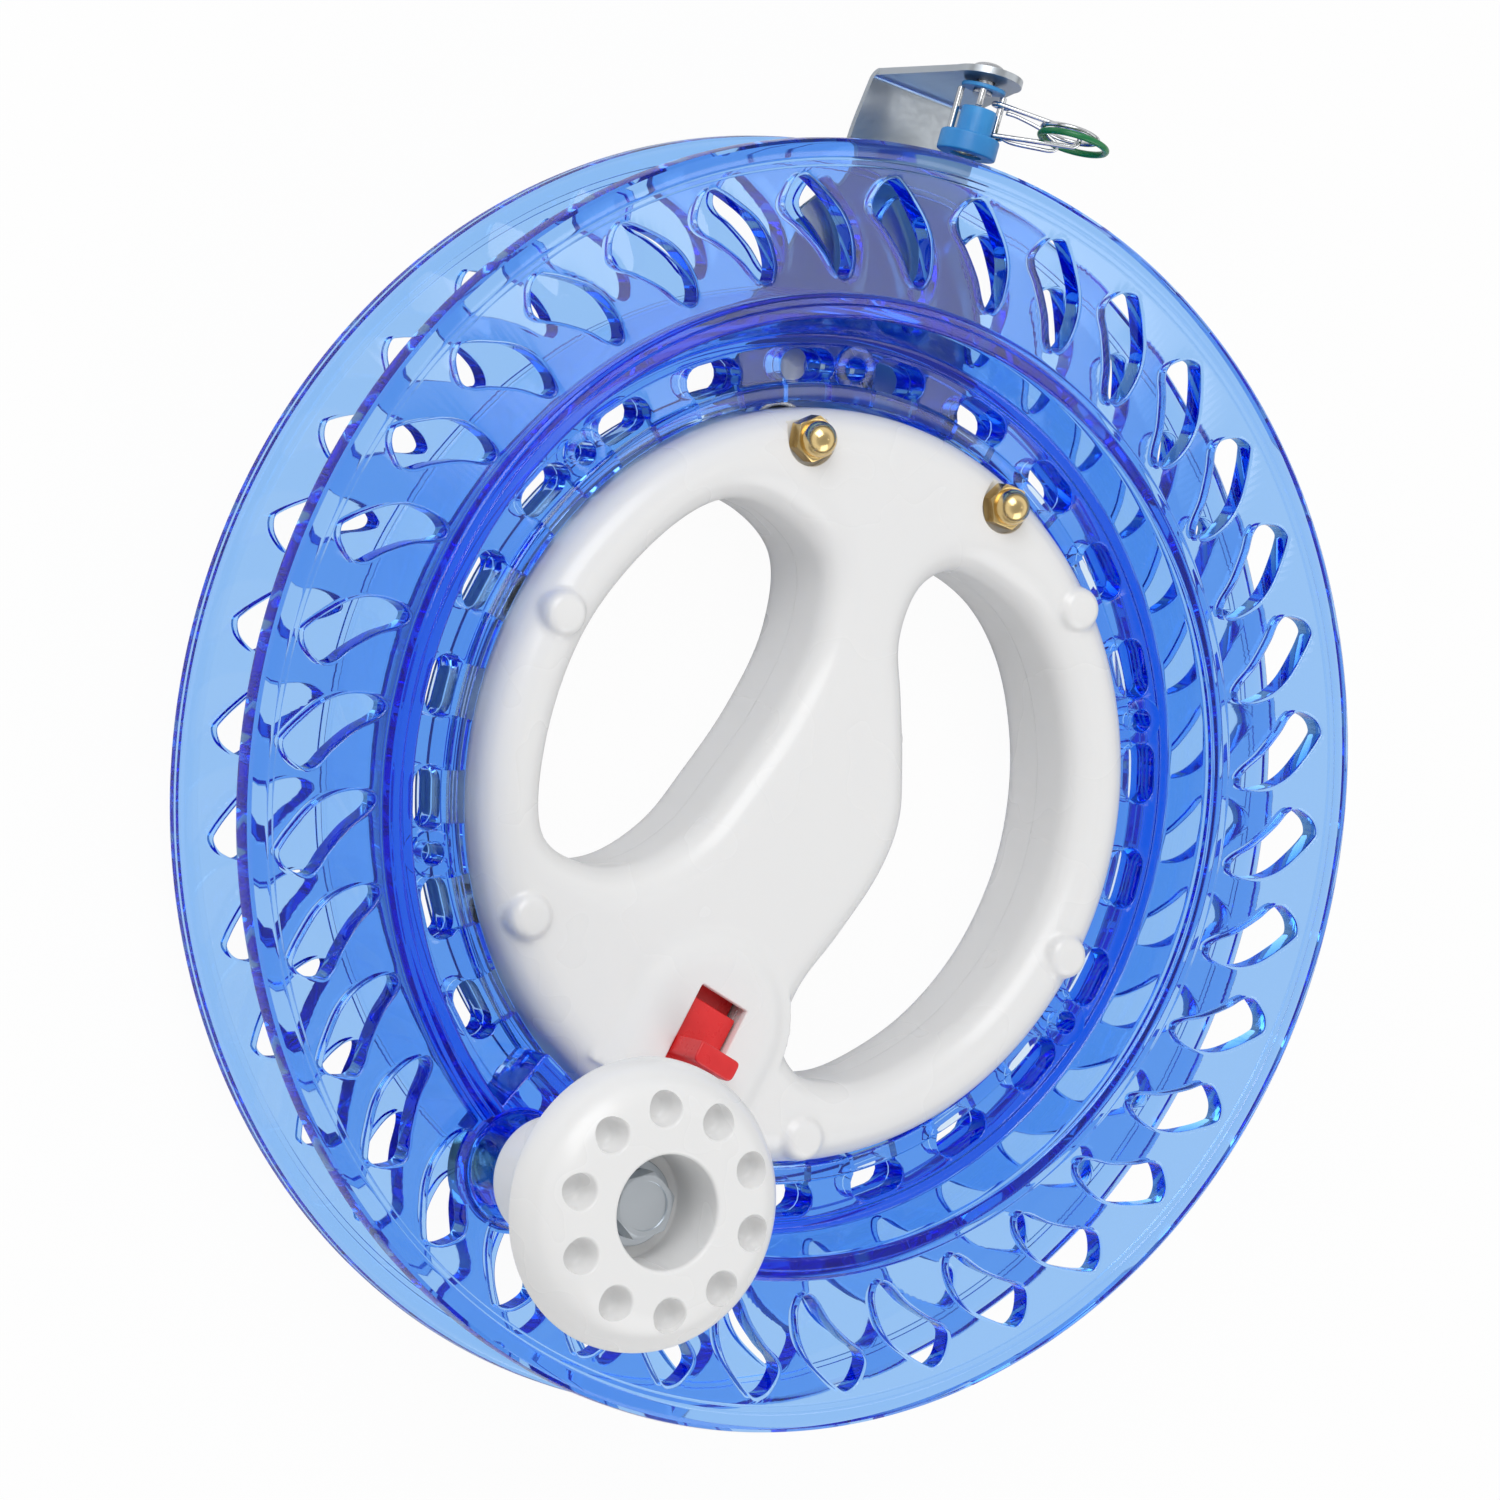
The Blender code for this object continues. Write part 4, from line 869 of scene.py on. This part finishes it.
guideLook = {
    "angle": 73.5, "forward": 0.0028, "turn": -32.3, "sheet": 0.0012, "face": 0.0153, "foot": 0.0482,
    "halfFoot": 0.0266, "halfShoulder": 0.0185, "shoulder": 0.0960, "shoulderEnd": 0.1040, "neck": 0.0122,
    "neckEnd": 0.0100, "shelfTop": 0.1265, "shelfHalf": 0.0063, "bend": 0.0022, "rise": 7.0,
    "rivet": 0.0033, "rivetHigh": 0.0019, "collar": 0.0039, "collarTop": 0.1245, "collarLow": 0.1238,
    "top": 0.1202, "flangeTop": 0.1158, "flangeLow": 0.1122, "flange": 0.0052, "bore": 0.0013,
    "hole": 0.0017, "boltHole": 0.0021, "mouth": 0.0028, "mouthDeep": 0.0020, "eyelet": 0.0025,
    "eyeletHigh": 0.0014, "notchRoom": 0.00095, "notchShift": 0.0002,
    "wide": 0.0050, "narrow": 0.0031, "aside": 0.0003, "pinCircle": 0.00375, "pin": 0.0006, "wire": 0.00045,
    "snapTurn": -7.7, "snapLength": 0.0152, "snapSpread": 0.0055, "ringPlace": 0.0080, "ringTilt": -5.0,
    "greenRing": (0.0058, 0.0006), "steelRing": (0.0049, 0.00045),
}


def guideFrames():
    g = guideLook
    flat = raised @ turned(g["angle"])
    upright = raised @ Matrix.Translation((0, 0, g["forward"])) @ turned(g["angle"] - 90) @ turned(-90, "X")
    swivel = upright @ turned(g["turn"])
    snap = swivel @ Matrix.Translation((g["pinCircle"], 0, 0)) @ turned(g["snapTurn"])
    return flat, upright, swivel, snap


def makeBracket(flat, upright):
    # the sheet's section, with a shelf that rises a little towards its free end
    g = guideLook
    back, inner, rise = -g["face"] - g["sheet"], g["bend"] - g["sheet"], math.radians(g["rise"])
    turnStart = back + g["bend"]
    reach = g["forward"] + g["shelfHalf"] + 0.002
    run = g["forward"] - turnStart + g["bend"] * math.sin(rise)
    centre = (g["shelfTop"] - g["bend"] * math.cos(rise) - run * math.tan(rise), turnStart)
    bends = [-90 + (90 - g["rise"]) * i / 10 for i in range(11)]
    outer = [polar(g["bend"], angle, centre) for angle in bends]
    under = [polar(inner, angle, centre) for angle in bends[::-1]]
    section = [(g["foot"] - overlap, back)] + outer
    section += [(x + (reach - z) * math.tan(rise), reach) for x, z in (outer[-1], under[0])]
    section += under + [(g["foot"] - overlap, -g["face"])]
    wide = g["halfFoot"] + 0.002
    sheet = slab("guideBracket", [section], -wide, wide, matrix=flat @ turned(90, "X"))
    half = [(g["foot"], g["halfFoot"] - 0.0070, 0.003), (g["foot"] + 0.0022, g["halfFoot"] - 0.0022, 0.003),
            (g["foot"] + 0.0075, g["halfFoot"], 0.003), (g["shoulder"], g["halfShoulder"], 0.004),
            (g["shoulder"] + 0.0035, g["halfShoulder"] - 0.003, 0.002), (g["shoulderEnd"], g["neck"], 0.003),
            (g["shelfTop"] - 0.0135, g["neck"], 0.003), (g["shelfTop"] + 0.003, g["neckEnd"], 0.0)]
    outline = rounded(half + [(x, -y, soft) for x, y, soft in half[::-1]], 5)
    plate = prism("plate", outline, -0.03, 0.03, flat)
    side = [(-g["face"] - 0.004, wide + 0.002, 0), (-g["face"] + 0.0002, wide + 0.002, 0),
            (-g["face"] + 0.0006, g["neckEnd"] + 0.0006, 0)]
    end = [(g["forward"] + z, t, 0) for z, t in (polar(g["shelfHalf"], 90 - 6 * i) for i in range(31))]
    rim = rounded(side + end + [(z, -t, soft) for z, t, soft in side[::-1]], 4)
    ends = (g["foot"] - 0.004, g["shelfTop"] + 0.002)
    shelf = layered("shelf", [[(x, y, z) for z, y in rim] for x in ends], flat)
    carve(sheet, [plate, shelf], "INTERSECT")
    holes = [bar("hole", g["boltHole"], -0.004, 0.004, 32, placed(rollerCircle, angle, midPlane - g["face"]))
             for angle in boltAngles]
    holes.append(bar("hole", g["hole"], 0.12, 0.13, 32, upright))
    carve(sheet, [merged("holes", holes)])
    bend(sheet, "BEVEL", width=0.00016, segments=2, limit_method="ANGLE", angle_limit=math.radians(50))
    settle(sheet)
    shadeSoft(sheet, 32)
    dress(sheet, "grip", "zinc_plate", "guide_bracket")
    seat = g["shelfTop"] + hairline
    foot = g["collarLow"] - hairline
    shank = rounded([(0.0, seat + 0.0006, 0), (0.0014, seat + 0.0006, 0), (0.0014, foot, 0), (0.0017, foot, 0),
                     (0.0017, foot - 0.0005, 0.0002), (0.0, foot - 0.0005, 0)], 3, False)
    wide, high = g["rivet"], g["rivetHigh"]
    head = rounded([(0.0, high, 0), (wide * 0.75, high, 0.0012), (wide, 0.0002, 0.0002),
                    (wide - 0.0001, 0.00005, 0), (0.0, 0.00005, 0)], 6, False)
    tilt = upright @ Matrix.Translation((0, 0, g["shelfTop"])) @ turned(-g["rise"], "X")
    rivet = spun("bracketRivet", shank, 40, upright)
    carve(rivet, [spun("head", head, 56, tilt)], "UNION")
    dress(shadeSoft(rivet), "grip", "steel", "bracket_rivet")


def makeGuide(upright, swivel):
    g = guideLook
    ring = tube(g["hole"], g["collar"], g["collarLow"], g["collarTop"], (0.0001, 0.0002, 0.0002, 0.0001))
    dress(shadeSoft(spun("guideCollar", ring, 56, upright)), "guide", "guide_blue", "guide_collar")
    outline = []
    for side in (1, -1):
        for i in range(13):
            x, y = polar(g["narrow"], 15 * i)
            outline.append((g["aside"] + side * x, side * (g["wide"] - g["narrow"] + y)))
    body = slab("guideBody", [outline], g["flangeTop"] - overlap, g["top"], 0.0003, 3, swivel)
    flange = rounded([(0.0, g["flangeTop"], 0), (g["flange"], g["flangeTop"], 0.0005),
                      (g["flange"], g["flangeLow"], 0.0004), (0.0, g["flangeLow"], 0)], 4, False)
    carve(body, [spun("flange", flange, 72, swivel)], "UNION")
    eye = g["pin"] + hairline + g["wire"]
    low = g["flangeLow"]
    cuts = [flared("bore", ringOf(g["bore"], 32), low + g["mouthDeep"] - 0.0001, g["top"], 0.0004, 4, swivel),
            bar("mouth", g["mouth"], low - overlap, low + g["mouthDeep"], 40, swivel),
            bar("notch", eye + g["notchRoom"], g["flangeTop"] - 0.0001, g["flangeTop"] + 0.0015, 32,
                swivel @ Matrix.Translation((g["pinCircle"] + g["notchShift"], 0, 0)))]
    for cut in cuts:
        carve(body, [cut])
    dress(shadeSoft(body, 32), "guide", "guide_blue", "guide_body")
    low += hairline
    eyelet = tube(g["bore"], g["eyelet"], low, low + g["eyeletHigh"], (0.0002, 0.0002, 0.0003, 0.0006), 5)
    dress(shadeSoft(spun("guideEyelet", eyelet, 56, swivel)), "guide", "brass", "guide_eyelet")
    for i in range(4):
        foot = (g["flangeTop"] if i % 2 == 0 else g["top"]) + hairline
        head = g["collarLow"] - hairline
        wide = g["pin"]
        corners = [(0.0, head, 0), (wide, head, 0.00012), (wide, foot, 0.00012), (0.0, foot, 0)]
        spot = swivel @ placed(g["pinCircle"], 90 * i)
        pin = spun(f"guidePin{i + 1}", rounded(corners, 3, False), 32, spot)
        dress(shadeSoft(pin), "guide", "chrome", f"guide_pin_{i + 1}")


def wireAlong(name, route, radius, matrix, closed=False):
    data = bpy.data.curves.new(name, "CURVE")
    data.dimensions = "3D"
    data.bevel_depth = radius
    data.bevel_resolution = 5
    data.use_fill_caps = not closed
    spline = data.splines.new("POLY")
    spline.points.add(len(route) - 1)
    for knot, spot in zip(spline.points, route):
        knot.co = (*spot, 1.0)
    spline.use_cyclic_u = closed
    wire = curveToMesh(name, data, matrix)
    wire.data.shade_smooth()
    return wire


def makeSnap(snap):
    g = guideLook
    eye = g["pin"] + hairline + g["wire"]
    low = g["flangeTop"] + hairline + g["wire"]
    middle = low + g["snapSpread"] / 2
    tip = 0.0014
    route = [(*polar(eye, 13 * i - 350), low) for i in range(21)]
    route += [(g["snapLength"] - tip - g["wire"] + x, -eye, middle + z) for x, z in
              (polar(tip, 12 * i - 90) for i in range(16))]
    route += [(x, y, 2 * middle - z) for x, y, z in route[20::-1]]
    bail = wireAlong("snapBail", route, g["wire"], snap)
    dress(bail, "snap", "chrome", "snap_bail")
    fine = g["wire"] * 0.78
    behind = -eye + g["wire"] + fine
    high = 2 * middle - low
    latch = softPath([(0.0012, behind, high - 0.0011), (0.0035, behind, high - 0.0013),
                      (0.0078, behind, middle + 0.0004), (0.0096, behind, middle - 0.0006),
                      (0.0108, behind, middle - 0.0013), (0.0112, behind, middle - 0.0021),
                      (0.0103, behind, middle - 0.0028), (0.0080, behind, middle - 0.0030),
                      (0.0035, behind, low - 0.0004), (0.0012, behind, low + 0.0001)], 6)
    dress(wireAlong("snapLatch", latch, fine, snap), "snap", "chrome")
    span = g["snapLength"] - tip - g["wire"]
    leg = g["snapSpread"] / 2 + (tip - g["snapSpread"] / 2) * g["ringPlace"] / span
    ringFrame = snap @ Matrix.Translation((g["ringPlace"], -eye, middle)) @ turned(g["ringTilt"], "X")
    for name, slot, node, side in (("greenRing", "green_coat", "snap_ring_green", -1),
                                   ("steelRing", "chrome", "snap_ring_steel", 1)):
        radius, wire = g[name]
        aside = side * (leg - g["wire"] - wire - hairline)
        spot = ringFrame @ Matrix.Translation((radius, 0, aside))
        route = [(*point, 0.0) for point in ringOf(radius, 72)]
        dress(wireAlong(name, route, wire, spot, closed=True), "rings", slot, node)


flat, upright, swivel, snapFrame = guideFrames()
makeBracket(flat, upright)
makeGuide(upright, swivel)
makeSnap(snapFrame)
print("stage: bracket and line guide made")


# Floor, light and camera

studio = {
    "lens": 157.535, "place": (-0.592314, 0.107059, 0.960070),
    "axisX": (0.85154648, 0.02568409, 0.52364962),
    "axisY": (0.02568409, 0.99555637, -0.09059713),
    "axisZ": (-0.52364962, 0.09059713, 0.84710285),
    "floorWhite": 0.96,                # share of plain white in what a camera or glass ray sees
    "skyStrength": 0.55,
    # grey by height: the room that mirrors show, and what shows through the clear plastic
    "roomStops": ((0.00, 0.22), (0.16, 0.24), (0.30, 1.00), (0.62, 1.00), (0.78, 0.55), (1.00, 0.45)),
    "throughStops": ((0.00, 0.90), (0.10, 0.85), (0.30, 0.65), (0.60, 0.50), (1.00, 0.38)),
    # a soft patch of light in that room, by how near a ray comes to its heading
    "glow": {"heading": (0.530, 0.004, 0.848), "inner": 0.9996, "outer": 0.9966, "bright": 3.0},
    "bounces": 32,                     # light passes many walls in the clear wheel
    "lamps": {"softKey": ((-0.5, 0.9, 1.0), 0.9, 9.0), "softFill": ((0.35, -1.1, 0.9), 1.0, 5.0)},
    "floor": 6.0,
}


def whiteShare(finish):
    # 1 for rays from the camera and out of clear plastic, 0 for all others
    seen = finish.node("ShaderNodeLightPath", output="Is Camera Ray")
    return seen.maths("MAXIMUM", seen.beside("Is Transmission Ray"))


def makeFloor():
    size, low = studio["floor"], cadBox[0][2] - 0.0002
    floor = fromLists("studioFloor", [(-size, -size, low), (size, -size, low), (size, size, low),
                                      (-size, size, low)], [(0, 1, 2, 3)])
    finish = Finish("paleFloor", Base_Color=rgb(0.82, 0.82, 0.82), Roughness=0.9)
    glow = finish.node("ShaderNodeEmission", {}, {"Color": rgb(1, 1, 1), "Strength": 1.0})
    mixed = finish.node("ShaderNodeMixShader", {}, {0: whiteShare(finish) * studio["floorWhite"],
                                                    1: Wire(finish, finish.shader.outputs[0]), 2: glow})
    finish.feed(finish.output.inputs["Surface"], mixed)
    floor.data.materials.append(finish.material)


def makeSky():
    # white for the camera, plain soft light for surfaces, and the two greys of the studio for mirrors
    # and for the clear plastic
    world = bpy.data.worlds.new("studioSky")
    bpy.context.scene.world = world
    sky = NodeTree(world)
    back = sky.nodes["Background"]
    seen = sky.node("ShaderNodeLightPath", output="Is Camera Ray")
    mirrored, through = seen.beside("Is Glossy Ray"), seen.beside("Is Transmission Ray")
    heading = sky.node("ShaderNodeTexCoord", output="Generated")
    height = sky.node("ShaderNodeSeparateXYZ", {}, {0: heading}, "Z")
    ramps = []
    for key in ("roomStops", "throughStops"):
        ramps.append(sky.node("ShaderNodeValToRGB", {"stops": studio[key]}, {0: height}))
    glow = studio["glow"]
    near = sky.node("ShaderNodeVectorMath", {"operation": "DOT_PRODUCT"},
                    {0: heading, 1: glow["heading"]}, "Value")
    amount = sky.span(near, 0.0, 1.0, glow["outer"], glow["inner"])
    room = sky.blend(amount, ramps[0], grey(glow["bright"]))
    shade = sky.blend(mirrored, grey(studio["skyStrength"]), room)
    shade = sky.blend(through, shade, ramps[1])
    sky.feed(back.inputs["Color"], sky.blend(seen, shade, rgb(1, 1, 1)))


def makeLamp(name, place, size, power):
    # a square lamp that faces the origin
    data = bpy.data.lights.new(name, "AREA")
    data.size = size
    data.energy = power
    lamp = newObject(name, data)
    lamp.location = place
    lamp.rotation_euler = (-Vector(place)).to_track_quat("-Z", "Y").to_euler()


def makeCamera():
    data = bpy.data.cameras.new("photoCamera")
    data.lens = studio["lens"]
    data.sensor_width = 36.0
    data.clip_start = 0.05
    camera = newObject("photoCamera", data)
    x, y, z = (Vector(studio[key]) for key in ("axisX", "axisY", "axisZ"))
    turn = Matrix((x, y, z)).transposed().to_4x4()
    camera.matrix_world = Matrix.Translation(studio["place"]) @ turn
    bpy.context.scene.camera = camera


makeFloor()
makeSky()
for name, settings in studio["lamps"].items():
    makeLamp(name, *settings)
makeCamera()
for kind in ("max_bounces", "transmission_bounces", "glossy_bounces"):
    setattr(bpy.context.scene.cycles, kind, studio["bounces"])
bpy.context.scene.view_settings.view_transform = "Standard"
print("stage: studio made")
